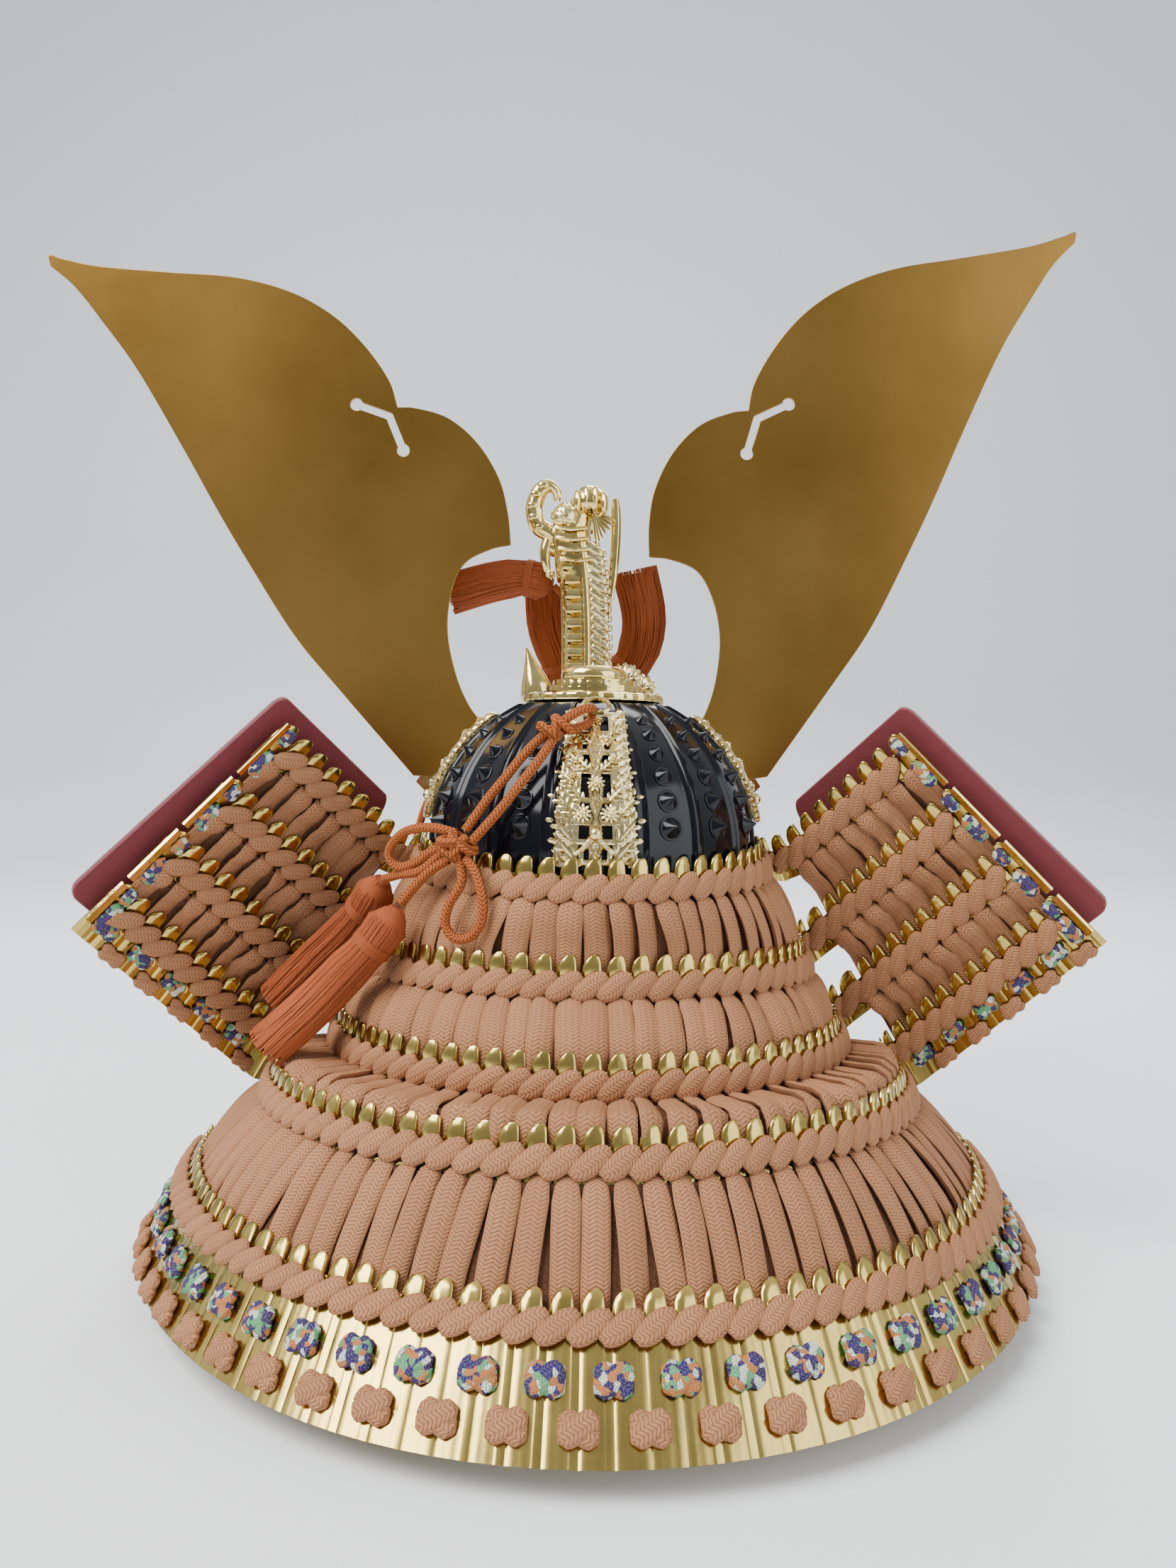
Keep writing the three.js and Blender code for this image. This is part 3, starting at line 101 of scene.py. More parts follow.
class Shape:
    """Vertices in millimetres, their lay on the piece and faces, gathered patch by patch."""

    def __init__(self) -> None:
        self._points: list[Array] = []
        self._lay: list[Array] = []
        self._faces: list[list[int]] = []
        self._slots: list[int] = []
        self._count = 0

    def add(self, points: Array, faces: list[list[int]], lay: Array, slot: int = 0) -> None:
        """Adds one closed patch.

        Args:
            points: its vertices.
            faces: its faces, which index its own vertices.
            lay: across and along in millimetres and a tint for each vertex.
            slot: the index of its material.
        """
        self._points.append(points)
        self._lay.append(lay)
        self._faces.extend([[i + self._count for i in face] for face in faces])
        self._slots.extend([slot] * len(faces))
        self._count += len(points)

    def loft(self, rings: Array, tint: float = 0.0, slot: int = 0, closed: bool = False) -> None:
        """Adds a body lofted over rings of points.

        Args:
            rings: rings, points and x, y, z on its three axes.
            tint: a value from 0 to 1 kept with the vertices.
            slot: the index of its material.
            closed: whether the last ring joins the first.
        """
        count, size = rings.shape[:2]
        faces = []
        for r in range(count if closed else count - 1):
            n = (r + 1) % count
            for k in range(size):
                m = (k + 1) % size
                faces.append([r * size + k, r * size + m, n * size + m, n * size + k])
        if not closed:
            faces.append(list(range(size - 1, -1, -1)))
            faces.append([(count - 1) * size + k for k in range(size)])
        middle = rings.mean(axis=1)
        along = np.r_[0, np.cumsum(np.linalg.norm(np.diff(middle, axis=0), axis=1))]
        girth = np.linalg.norm(np.roll(rings, -1, axis=1) - rings, axis=2).sum(axis=1).max()
        lay = np.zeros((count, size, 3))
        lay[..., 0] = np.linspace(0, girth, size, endpoint=False)
        lay[..., 1] = along[:, None]
        lay[..., 2] = tint
        self.add(rings.reshape(-1, 3), faces, lay.reshape(-1, 3), slot)

    def slab(self, front: Array, back: Array, tint: float = 0.0, slot: int = 0) -> None:
        """Adds a thin wall between two grids of points.

        Args:
            front: rows, columns and x, y, z on its three axes.
            back: the other face, of the same shape.
            tint: a value from 0 to 1 kept with the vertices.
            slot: the index of its material.
        """
        rows, columns = front.shape[:2]
        size = rows * columns
        faces = []
        for r in range(rows - 1):
            for c in range(columns - 1):
                a = r * columns + c
                faces.append([a, a + 1, a + columns + 1, a + columns])
                faces.append([a + size, a + columns + size, a + columns + 1 + size, a + 1 + size])
        rim = [c for c in range(columns)]
        rim += [r * columns + columns - 1 for r in range(1, rows)]
        rim += [(rows - 1) * columns + c for c in range(columns - 2, -1, -1)]
        rim += [r * columns for r in range(rows - 2, 0, -1)]
        for k, a in enumerate(rim):
            b = rim[(k + 1) % len(rim)]
            faces.append([b, a, a + size, b + size])
        lay = np.zeros((2, rows, columns, 3))
        across = np.linalg.norm(np.diff(front, axis=1), axis=2)
        down = np.linalg.norm(np.diff(front, axis=0), axis=2)
        lay[:, :, 1:, 0] = np.cumsum(across, axis=1)
        lay[:, 1:, :, 1] = np.cumsum(down, axis=0)
        lay[..., 2] = tint
        self.add(np.vstack([front.reshape(-1, 3), back.reshape(-1, 3)]), faces, lay.reshape(-1, 3), slot)

    def tube(
        self, line: Array, radii: Array | float, sides: int = 10, flat: float = 1.0,
        normal: Triple = (0, 1, 0), tint: float = 0.0, slot: int = 0,
    ) -> None:
        """Adds a round or flattened tube along a line.

        Args:
            line: the points of its middle line.
            radii: one half-width, or one for each point.
            sides: how many sides it has.
            flat: its half-thickness as a share of its half-width.
            normal: the way its flat side faces.
            tint: a value from 0 to 1 kept with the vertices.
            slot: the index of its material.
        """
        along = unit(np.gradient(line, axis=0))
        facing = np.array(normal, float)
        radii = np.broadcast_to(radii, len(line))
        turns = np.linspace(0, 2 * np.pi, sides, endpoint=False)
        rings = []
        for point, way, radius in zip(line, along, radii):
            facing = unit(facing - way * facing.dot(way))
            side = np.cross(way, facing)
            rings.append(
                point
                + radius * np.cos(turns)[:, None] * side
                + radius * flat * np.sin(turns)[:, None] * facing
            )
        self.loft(np.array(rings), tint, slot)

    def ball(
        self, centre: Array, size: Triple, axes: Array | None = None, sides: int = 10,
        tint: float = 0.0, slot: int = 0,
    ) -> None:
        """Adds an ellipsoid.

        Args:
            centre: its middle.
            size: its half-lengths along the three axes.
            axes: the unit axes as rows, or None for the frame's own.
            sides: how many sides it has.
            tint: a value from 0 to 1 kept with the vertices.
            slot: the index of its material.
        """
        axes = np.eye(3) if axes is None else np.asarray(axes)
        rise = np.linspace(-0.96, 0.96, max(sides // 2 + 1, 4)) * np.pi / 2
        turns = np.linspace(0, 2 * np.pi, sides, endpoint=False)
        local = np.stack(
            [
                np.cos(rise)[:, None] * np.cos(turns) * size[0],
                np.cos(rise)[:, None] * np.sin(turns) * size[1],
                np.sin(rise)[:, None] * np.ones(sides) * size[2],
            ],
            axis=-1,
        )
        self.loft(np.asarray(centre) + local @ axes, tint, slot)

    def build(
        self, name: str, materials: list[bpy.types.Material], nodes: tuple[str, ...] = (),
        finish: Finish = Finish.GILT, sharp: float = 38.0,
    ) -> bpy.types.Object:
        """Makes the object, puts it on the frame and hides the CAD nodes it stands for.

        Args:
            name: the object's name.
            materials: its materials, in the order of the slots.
            nodes: the CAD nodes it stands for.
            finish: the finish kind; not used.
            sharp: edges over this angle in degrees stay sharp.

        Returns:
            The new object.
        """
        mesh = bpy.data.meshes.new(name)
        mesh.from_pydata((np.vstack(self._points) * MM).tolist(), [], self._faces)
        lay = mesh.attributes.new("lay", "FLOAT_VECTOR", "POINT")
        lay.data.foreach_set("vector", np.vstack(self._lay).astype(np.float32).ravel())
        mesh.polygons.foreach_set("material_index", self._slots)
        work = bmesh.new()
        work.from_mesh(mesh)
        bmesh.ops.recalc_face_normals(work, faces=work.faces)
        work.to_mesh(mesh)
        work.free()
        mesh.shade_smooth()
        mesh.set_sharp_from_angle(angle=math.radians(sharp))
        for material in materials:
            mesh.materials.append(material)
        piece = bpy.data.objects.new(name, mesh)
        bpy.context.scene.collection.objects.link(piece)
        if nodes:
            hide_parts(*nodes)
        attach(piece, "root")
        log.info("%s: %d faces", name, len(mesh.polygons))
        return piece


# Materials


class NodeGraph:
    """A node tree with short ways to add and join nodes."""

    def __init__(self, tree: bpy.types.NodeTree) -> None:
        self.tree = tree
        self.tree.nodes.clear()

    def node(self, kind: str, **values: object) -> bpy.types.Node:
        """Adds a node.

        Args:
            kind: the node's type name.
            values: its properties, or inputs where the key is a socket's name.

        Returns:
            The new node.
        """
        made = self.tree.nodes.new(kind)
        for key, value in values.items():
            if hasattr(made, key):
                setattr(made, key, value)
            else:
                made.inputs[key.replace("_", " ")].default_value = value
        return made

    def join(self, start: bpy.types.NodeSocket, end: bpy.types.NodeSocket) -> None:
        """Links an output to an input."""
        self.tree.links.new(start, end)

    def maths(self, operation: str, first: object, second: object = 0.5) -> bpy.types.NodeSocket:
        """Adds a maths node.

        Args:
            operation: the operation's name.
            first: a socket or a number.
            second: a socket or a number.

        Returns:
            The result's socket.
        """
        made = self.tree.nodes.new("ShaderNodeMath")
        made.operation = operation
        for socket, value in zip(made.inputs, (first, second)):
            if isinstance(value, bpy.types.NodeSocket):
                self.join(value, socket)
            else:
                socket.default_value = value
        return made.outputs[0]

    def ramp(self, factor: bpy.types.NodeSocket, stops: list[tuple[float, Triple]]) -> bpy.types.NodeSocket:
        """Adds a colour ramp.

        Args:
            factor: what the ramp reads.
            stops: places from 0 to 1 with their colours.

        Returns:
            The colour's socket.
        """
        made = self.tree.nodes.new("ShaderNodeValToRGB")
        elements = made.color_ramp.elements
        while len(elements) < len(stops):
            elements.new(0.5)
        for element, (place, colour) in zip(elements, stops):
            element.position = place
            element.color = (*colour, 1)
        self.join(factor, made.inputs[0])
        return made.outputs[0]


def new_group(
    name: str, inputs: dict[str, float], outputs: dict[str, str]
) -> tuple[bpy.types.NodeTree, NodeGraph]:
    """Makes an empty shader group with its sockets.

    Args:
        name: the group's name.
        inputs: float inputs with their default values.
        outputs: output names with their socket types.

    Returns:
        The group and the graph to fill.
    """
    tree = bpy.data.node_groups.new(name, "ShaderNodeTree")
    for key, value in inputs.items():
        socket = tree.interface.new_socket(key, in_out="INPUT", socket_type="NodeSocketFloat")
        socket.default_value = value
    for key, kind in outputs.items():
        tree.interface.new_socket(key, in_out="OUTPUT", socket_type=kind)
    return tree, NodeGraph(tree)


def braid_group() -> bpy.types.NodeTree:
    """The plait of a braid from its lay: columns of slanted strands.

    Returns:
        The group, which puts out a height, the piece's tint and a normal.
    """
    tree, graph = new_group(
        "braid plait",
        {"Column": 1.1, "Strand": 0.75, "Depth": 0.6},
        {"Height": "NodeSocketFloat", "Tint": "NodeSocketFloat", "Normal": "NodeSocketVector"},
    )
    given = graph.node("NodeGroupInput")
    put = graph.node("NodeGroupOutput")
    lay = graph.node("ShaderNodeAttribute", attribute_name="lay")
    split = graph.node("ShaderNodeSeparateXYZ")
    graph.join(lay.outputs["Vector"], split.inputs[0])
    across = graph.maths("DIVIDE", split.outputs[0], given.outputs["Column"])
    along = graph.maths("DIVIDE", split.outputs[1], given.outputs["Strand"])
    column = graph.maths("FLOOR", across)
    share = graph.maths("SUBTRACT", graph.maths("SUBTRACT", across, column), 0.5)
    odd = graph.maths("MODULO", graph.maths("ABSOLUTE", column), 2.0)
    way = graph.maths("SUBTRACT", 1.0, graph.maths("MULTIPLY", odd, 2.0))
    phase = graph.maths("ADD", along, graph.maths("MULTIPLY", share, way))
    strand = graph.maths("ABSOLUTE", graph.maths("SINE", graph.maths("MULTIPLY", phase, math.pi)))
    edge = graph.maths("COSINE", graph.maths("MULTIPLY", share, 1.9))
    height = graph.maths("MULTIPLY", graph.maths("POWER", strand, 0.6), edge)
    bump = graph.node("ShaderNodeBump", Distance=0.0004)
    graph.join(height, bump.inputs["Height"])
    graph.join(given.outputs["Depth"], bump.inputs["Strength"])
    graph.join(height, put.inputs["Height"])
    graph.join(split.outputs[2], put.inputs["Tint"])
    graph.join(bump.outputs[0], put.inputs["Normal"])
    return tree


def wear_group() -> bpy.types.NodeTree:
    """Soft dents and cloudiness of thin pressed or cast metal.

    Returns:
        The group, which puts out a mask and a normal.
    """
    tree, graph = new_group(
        "metal wear",
        {"Scale": 90.0, "Depth": 0.15},
        {"Mask": "NodeSocketFloat", "Normal": "NodeSocketVector"},
    )
    given = graph.node("NodeGroupInput")
    put = graph.node("NodeGroupOutput")
    place = graph.node("ShaderNodeTexCoord")
    noise = graph.node("ShaderNodeTexNoise", Detail=4.0, Roughness=0.55)
    graph.join(place.outputs["Object"], noise.inputs["Vector"])
    graph.join(given.outputs["Scale"], noise.inputs["Scale"])
    bump = graph.node("ShaderNodeBump", Distance=0.001)
    graph.join(given.outputs["Depth"], bump.inputs["Strength"])
    graph.join(noise.outputs[0], bump.inputs["Height"])
    graph.join(noise.outputs[0], put.inputs["Mask"])
    graph.join(bump.outputs[0], put.inputs["Normal"])
    return tree


@dataclass(frozen=True)
class MetalFinish:
    """A metal: two tones that cloud into each other, and how rough and dented it is."""

    name: str
    light: Triple
    dark: Triple
    rough: float
    scale: float = 90.0
    dents: float = 0.15
    coat: float = 0.0

    def material(self) -> bpy.types.Material:
        """Makes the material.

        Returns:
            The material.
        """
        made = bpy.data.materials.new(self.name)
        made.use_nodes = True
        graph = NodeGraph(made.node_tree)
        wear = graph.node("ShaderNodeGroup", node_tree=bpy.data.node_groups["metal wear"])
        wear.inputs["Scale"].default_value = self.scale
        wear.inputs["Depth"].default_value = self.dents
        shader = graph.node("ShaderNodeBsdfPrincipled", Metallic=1.0, Roughness=self.rough)
        shader.inputs["Coat Weight"].default_value = self.coat
        shader.inputs["Coat Roughness"].default_value = 0.08
        colour = graph.ramp(wear.outputs["Mask"], [(0.35, self.dark), (0.65, self.light)])
        graph.join(colour, shader.inputs["Base Color"])
        graph.join(wear.outputs["Normal"], shader.inputs["Normal"])
        graph.join(shader.outputs[0], graph.node("ShaderNodeOutputMaterial").inputs[0])
        return made


@dataclass(frozen=True)
class BraidFinish:
    """A braid: the colours from its grooves, darkened with painted shade, to its ridges and the size of its
    plait.
    """

    name: str
    groove_shade: Triple
    ridge: Triple
    column: float = 1.1
    strand: float = 0.75
    depth: float = 0.6
    mixed: tuple[Triple, ...] = ()

    def material(self) -> bpy.types.Material:
        """Makes the material.

        Returns:
            The material.
        """
        made = bpy.data.materials.new(self.name)
        made.use_nodes = True
        graph = NodeGraph(made.node_tree)
        plait = graph.node("ShaderNodeGroup", node_tree=bpy.data.node_groups["braid plait"])
        plait.inputs["Column"].default_value = self.column
        plait.inputs["Strand"].default_value = self.strand
        plait.inputs["Depth"].default_value = self.depth
        shader = graph.node("ShaderNodeBsdfPrincipled", Roughness=0.75)
        shader.inputs["Specular IOR Level"].default_value = 0.15
        if self.mixed:
            place = graph.node("ShaderNodeTexCoord")
            cells = graph.node("ShaderNodeTexVoronoi", Scale=720.0)
            graph.join(place.outputs["Object"], cells.inputs["Vector"])
            tone = graph.node("ShaderNodeSeparateColor")
            graph.join(cells.outputs["Color"], tone.inputs[0])
            stops = [(k / len(self.mixed), colour) for k, colour in enumerate(self.mixed)]
            ridge = graph.ramp(tone.outputs[0], stops)
            ridge.node.color_ramp.interpolation = "CONSTANT"
        else:
            darker = tuple(0.86 * c for c in self.ridge)
            ridge = graph.ramp(plait.outputs["Tint"], [(0.0, darker), (1.0, self.ridge)])
        # Painted shade: the low parts of the plait take the dark colour set for the hollows, the high parts
        # the ridge colour.
        blend = graph.node("ShaderNodeMix", data_type="RGBA")
        blend.inputs["A"].default_value = (*self.groove_shade, 1)
        graph.join(ridge, blend.inputs["B"])
        lift = graph.maths("MINIMUM", graph.maths("MULTIPLY", plait.outputs["Height"], 1.25), 1.0)
        graph.join(lift, blend.inputs["Factor"])
        graph.join(blend.outputs["Result"], shader.inputs["Base Color"])
        graph.join(plait.outputs["Normal"], shader.inputs["Normal"])
        graph.join(shader.outputs[0], graph.node("ShaderNodeOutputMaterial").inputs[0])
        return made


@dataclass(frozen=True)
class PlainFinish:
    """A smooth or softly grained finish that isn't metal."""

    name: str
    colour: Triple
    rough: float
    coat: float = 0.0
    grain: float = 0.0
    grain_scale: float = 900.0
    sheen: float = 0.0
    shine: float = 0.5

    def material(self) -> bpy.types.Material:
        """Makes the material.

        Returns:
            The material.
        """
        made = bpy.data.materials.new(self.name)
        made.use_nodes = True
        graph = NodeGraph(made.node_tree)
        shader = graph.node("ShaderNodeBsdfPrincipled", Roughness=self.rough)
        shader.inputs["Base Color"].default_value = (*self.colour, 1)
        shader.inputs["Coat Weight"].default_value = self.coat
        shader.inputs["Coat Roughness"].default_value = 0.05
        shader.inputs["Sheen Weight"].default_value = self.sheen
        shader.inputs["Specular IOR Level"].default_value = self.shine
        if self.grain:
            wear = graph.node("ShaderNodeGroup", node_tree=bpy.data.node_groups["metal wear"])
            wear.inputs["Scale"].default_value = self.grain_scale
            wear.inputs["Depth"].default_value = self.grain
            graph.join(wear.outputs["Normal"], shader.inputs["Normal"])
        graph.join(shader.outputs[0], graph.node("ShaderNodeOutputMaterial").inputs[0])
        return made


class Finishes:
    """All materials, made once."""

    def __init__(self) -> None:
        braid_group()
        wear_group()
        made = [
            MetalFinish("gilt", (0.62, 0.46, 0.13), (0.45, 0.33, 0.09), 0.2, 60, 0.12),
            MetalFinish("bright gilt", (0.82, 0.66, 0.27), (0.66, 0.48, 0.14), 0.1, 140, 0.12),
            MetalFinish("cast gilt", (0.88, 0.75, 0.4), (0.66, 0.5, 0.2), 0.16, 500, 0.3),
            MetalFinish("satin brass", (0.38, 0.22, 0.055), (0.27, 0.148, 0.032), 0.3, 14, 0.03),
            PlainFinish("black lacquer", (0.003, 0.0035, 0.006), 0.13, 0.0, 0.03, 60, 0.0, 0.28),
            BraidFinish("tan braid", (0.2, 0.08, 0.034), (0.42, 0.2, 0.098), 1.2, 0.9, 0.6),
            # A dark copy of the tan braid: painted shade for the sheet seen between the braids of the
            # curtains.
            BraidFinish("shaded braid", (0.07, 0.026, 0.012), (0.14, 0.058, 0.028), 1.2, 0.9, 0.4),
            BraidFinish(
                "mixed braid", (0.16, 0.14, 0.12), (0.6, 0.6, 0.55), 0.9, 0.7, 0.5,
                (
                    (0.62, 0.68, 0.58), (0.1, 0.36, 0.15), (0.022, 0.012, 0.12), (0.03, 0.015, 0.1),
                    (0.5, 0.17, 0.035),
                ),
            ),
            BraidFinish("rust cord", (0.12, 0.022, 0.006), (0.46, 0.125, 0.032), 1.25, 1.1, 1.0),
            BraidFinish("rust strands", (0.15, 0.03, 0.011), (0.4, 0.1, 0.033), 0.35, 60.0, 0.5),
            PlainFinish("maroon cloth", (0.13, 0.004, 0.009), 0.7, 0.0, 0.25, 1500, 0.3),
        ]
        self._by_name = {finish.name: finish.material() for finish in made}

    def __getitem__(self, name: str) -> bpy.types.Material:
        return self._by_name[name]


# Neck guard


@dataclass(frozen=True)
class Row:
    """One row of the neck guard, as shares of the rim's half-width and the crown's height."""

    name: str
    radius: float
    top: float
    back: float
    stretch: float
    rise: float
    half: float
    flare: float = 0.0
    scales: int = 0
    wing_scales: int = 0
    wing_in: float = 1.0
    wing_out: float = 1.0


ROWS = (
    Row("one", 0.38845, 0.723, 0.01948, 1.117, -0.021, 93, 10, 27, 8, 0, 0),
    Row("two", 0.492, 0.537, 0.006, 0.99, 0.012, 93, 10, 33, 9, 0.27, 0.26),
    Row("three", 0.57, 0.403, 0.008, 1.07, 0.012, 93, 12, 39, 10, 0.52, 0.51),
    Row("four", 0.701, 0.322, 0.039, 1.1, 0.029, 93, 18, 47, 11, 0.77, 0.76),
    Row("five", 0.885, 0.148, -0.047, 1.13, 0.015, 88, 0, 55),
    Row("rim", 1, 0, -0.041, 1.16, 0, 88),
)
WINGED_ROWS = 4
BEND_SCALES = 3
TWIST_TO = 10.6
LACE_LAP, LACE_TUCK, LACE_BULGE = 2.8, 3.5, 1.1
LAME_DEPTH = TWIST_TO + 0.8 + LACE_LAP
LAME_WALL, BRAID, LOOSE_GAP = 0.8, 1.8, 0.75


@dataclass
class Place:
    """A point on a row, the way down the lame there and the lame's depth."""

    point: Array
    down: Array
    depth: float

    def mirrored(self) -> "Place":
        """The same place on the other side."""
        turn = np.array([-1.0, 1.0, 1.0])
        return Place(self.point * turn, self.down * turn, self.depth)


class Run:
    """Places side by side, with the way out of the surface at each."""

    def __init__(self, places: list[Place]) -> None:
        self.point = np.array([p.point for p in places])
        self.down = np.array([p.down for p in places])
        self.depth = np.array([p.depth for p in places])
        self.along = unit(np.gradient(self.point, axis=0))
        self.out = unit(np.cross(self.along, -self.down))
        self.count = len(places)

    def _blend(self, values: Array, steps: Array) -> Array:
        low = np.clip(np.floor(steps).astype(int), 0, self.count - 2)
        share = np.asarray(steps - low, float)
        if values.ndim > 1:
            share = share[..., None]
        return values[low] * (1 - share) + values[low + 1] * share

    def at(self, steps: Array, down_by: Array, out_by: Array) -> Array:
        """Points on or off the surface, in the row frame.

        Args:
            steps: where along the run, counted in places.
            down_by: how far down the lame, in millimetres.
            out_by: how far out of the surface, in millimetres.

        Returns:
            The points, on one more axis than the arguments.
        """
        steps, down_by, out_by = np.broadcast_arrays(*map(np.asarray, (steps, down_by, out_by)))
        steps = steps.astype(float)
        return (
            self._blend(self.point, steps)
            + self._blend(unit(self.down), steps) * down_by[..., None]
            + self._blend(self.out, steps) * out_by[..., None]
            + SEAT_SHIFT
        )

    def depth_at(self, steps: Array) -> Array:
        """The lame's depth at some steps."""
        return self._blend(self.depth, np.asarray(steps, float))

    def ways(self, step: float) -> tuple[Array, Array, Array]:
        """The unit ways along, down and out at a step."""
        where = np.asarray(float(step))
        return tuple(unit(self._blend(v, where)) for v in (self.along, self.down, self.out))


class GuardPlan:
    """Where every row of the neck guard and of its wings lies."""

    inner_top = np.array([57.5, -1.5, 112.5])
    outer_top = np.array([84.5, 26.0, 143.0])
    outer_bottom = np.array([140.0, 35.0, 85.5])
    inner_bottom = np.array([101.0, -4.0, 36.0])

    def ring_point(self, row: int, degrees: float) -> Array:
        """A point on a row of the neck.

        Args:
            row: the row's index.
            degrees: how far round from the back.

        Returns:
            The point.
        """
        size = ROWS[row]
        turn = math.radians(degrees)
        reach = size.radius * RIM_HALF_WIDTH
        return np.array(
            [
                reach * math.sin(turn),
                size.back * CROWN_HEIGHT + reach * size.stretch * math.cos(turn),
                CROWN_HEIGHT * (size.top + size.rise * math.cos(turn)),
            ]
        )

    def wing_point(self, across: float, down: float) -> Array:
        """A point on the flat of a wing.

        Args:
            across: the share of the way from its inner to its outer edge.
            down: the share of the way down.

        Returns:
            The point on the wing at +X.
        """
        top = self.inner_top + (self.outer_top - self.inner_top) * across
        bottom = self.inner_bottom + (self.outer_bottom - self.inner_bottom) * across
        return top + (bottom - top) * down

    def neck_place(self, row: int, degrees: float) -> Place:
        """A place on the neck.

        Args:
            row: the row's index.
            degrees: how far round from the back; below 0 on the -X side.

        Returns:
            The place.
        """
        if degrees < 0:
            return self.neck_place(row, -degrees).mirrored()
        point = self.ring_point(row, degrees)
        if row == WINGED_ROWS:
            fall = self.ring_point(row + 1, degrees) - point
            return Place(point, unit(fall), float(np.linalg.norm(fall)))
        along = self.ring_point(row, degrees + 1) - point
        along[2] = 0
        along = unit(along)
        flare = math.radians(ROWS[row].flare)
        down = np.array([-along[1] * math.sin(flare), along[0] * math.sin(flare), -math.cos(flare)])
        return Place(point, down, LAME_DEPTH)

    def wing_place(self, row: int, across: float) -> Place:
        """A place on a wing.

        Args:
            row: the row's index.
            across: the share of the way from its inner to its outer edge.

        Returns:
            The place on the wing at +X.
        """
        share = [size.wing_in + (size.wing_out - size.wing_in) * across for size in ROWS[row : row + 2]]
        point = self.wing_point(across, share[0])
        fall = self.wing_point(across, share[1]) - point
        depth = LAME_DEPTH if row + 1 < WINGED_ROWS else float(np.linalg.norm(fall))
        return Place(point, unit(fall), depth)

    def bend_place(self, row: int, share: float) -> Place:
        """A place on the fold between the neck and a wing.

        Args:
            row: the row's index.
            share: 0 at the neck and 1 at the wing.

        Returns:
            The place at +X.
        """
        start, end = self.neck_place(row, ROWS[row].half), self.wing_place(row, 0)
        leave = unit(start.point - self.ring_point(row, ROWS[row].half - 1))
        enter = unit(self.wing_place(row, 1).point - end.point)
        handle = float(np.linalg.norm(end.point - start.point)) * 0.55 + 2
        a, b = start.point, start.point + leave * handle
        c, d = end.point - enter * handle, end.point
        t = share
        point = a * (1 - t) ** 3 + 3 * b * t * (1 - t) ** 2 + 3 * c * t * t * (1 - t) + d * t**3
        down = unit(start.down + (end.down - start.down) * t)
        return Place(point, down, start.depth + (end.depth - start.depth) * t)

    def side_places(self, row: int) -> list[Place]:
        """The places of a wing and its fold from the outer edge to the neck.

        Args:
            row: the row's index.

        Returns:
            The places at +X.
        """
        count = ROWS[row].wing_scales
        wing = [self.wing_place(row, k / count) for k in range(count, 0, -1)]
        return wing + [self.bend_place(row, k / BEND_SCALES) for k in range(BEND_SCALES, 0, -1)]

    def neck_places(self, row: int, count: int, half: float) -> list[Place]:
        """Places along the neck from its +X end to its -X end."""
        return [self.neck_place(row, half * (1 - 2 * k / count)) for k in range(count + 1)]

    def full_run(self, row: int) -> Run:
        """The whole row with both wings, one place a scale edge.

        Args:
            row: the row's index.

        Returns:
            The run.
        """
        neck = self.neck_places(row, ROWS[row].scales, ROWS[row].half)
        if row >= WINGED_ROWS:
            return Run(neck)
        side = self.side_places(row)
        return Run(side + neck + [place.mirrored() for place in reversed(side)])


@dataclass(frozen=True)
class ScaleForm:
    """One pressed scale: shares across with how far down its top edge lies there."""

    across: tuple[float, ...] = (0.0, 0.04, 0.13, 0.27, 0.42, 0.56, 0.67, 0.745, 0.78, 1.0)
    top: tuple[float, ...] = (4.5, 2.6, 1.45, 0.6, 0.15, 0.0, 0.15, 0.7, 4.5, 4.5)
    levels: tuple[float, ...] = (4.7, 5.3, 8.0, 10.7, 11.4)
    wall: float = 0.5
    arch: float = 1.55
    arch_wire: float = 0.24

    def bulge(self, share: Array, down: Array) -> Array:
        """How far the pressed face stands out.

        Args:
            share: the share across the scale.
            down: how far down the scale, in millimetres.

        Returns:
            The rise in millimetres.
        """
        tongue = np.sqrt(np.clip(1 - ((share - 0.4) / 0.4) ** 2, 0, 1))
        crease = 0.22 * np.exp(-(((share - 0.55) / 0.06) ** 2))
        head = 0.95 * tongue - crease * (share < 0.78)
        band = 0.42 * np.clip(1 - (2 * share - 1) ** 6, 0, 1) - 0.12 * np.cos(6 * math.pi * share)
        low = np.clip((down - 4.6) / 2.0, 0, 1)
        return head * (1 - low) + 0.5 * band * low


@dataclass(frozen=True)
class StitchForm:
    """A slanted stitch: along the row in scales, the rest in millimetres."""

    start: float = -0.42
    span: float = 1.5
    wobble: float = 0.02
    foot: float = 9.9
    climb: float = 4.1
    bow: float = 0.5
    out: float = LOOSE_GAP + 1.0
    slope: float = 0.35
    thin: float = 0.25
    wide: float = 2.35
    flat: float = 0.45


@dataclass(frozen=True)
class StrandForm:
    """A braid of a curtain: how far it sways, tilts and swells, and how it is tucked in."""

    sway: float = 0.12
    sway_pace: float = 0.55
    wobble: float = 0.09
    tilt: float = 0.08
    uneven: float = 0.1
    swell: float = LACE_BULGE - 0.3
    ripple: float = 0.22
    foot: float = LACE_TUCK + 3.0
    tuck: float = -(LAME_WALL + LOOSE_GAP + BRAID / 2)
    flat: float = 0.34
    neck_clear: float = 1.2
    wing_clear: float = 2.6
    short_width: float = 1.25
    long_width: float = 1.1
    wing_width: float = 1.12


@dataclass(frozen=True)
class KnotForm:
    """A crossed knot: half across in scales, the rest in millimetres."""

    across: float = 0.56
    down: float = 2.3
    heights: tuple[float, float] = (0.55, 0.95)
    rise: float = 0.5
    thin: float = 0.4
    wide: float = 2.1
    flat: float = 0.5
    neck_downs: tuple[float, float] = (17.4, 26.0)
    wing_downs: tuple[float, float] = (13.4, 17.9)
    wing_size: float = 0.62


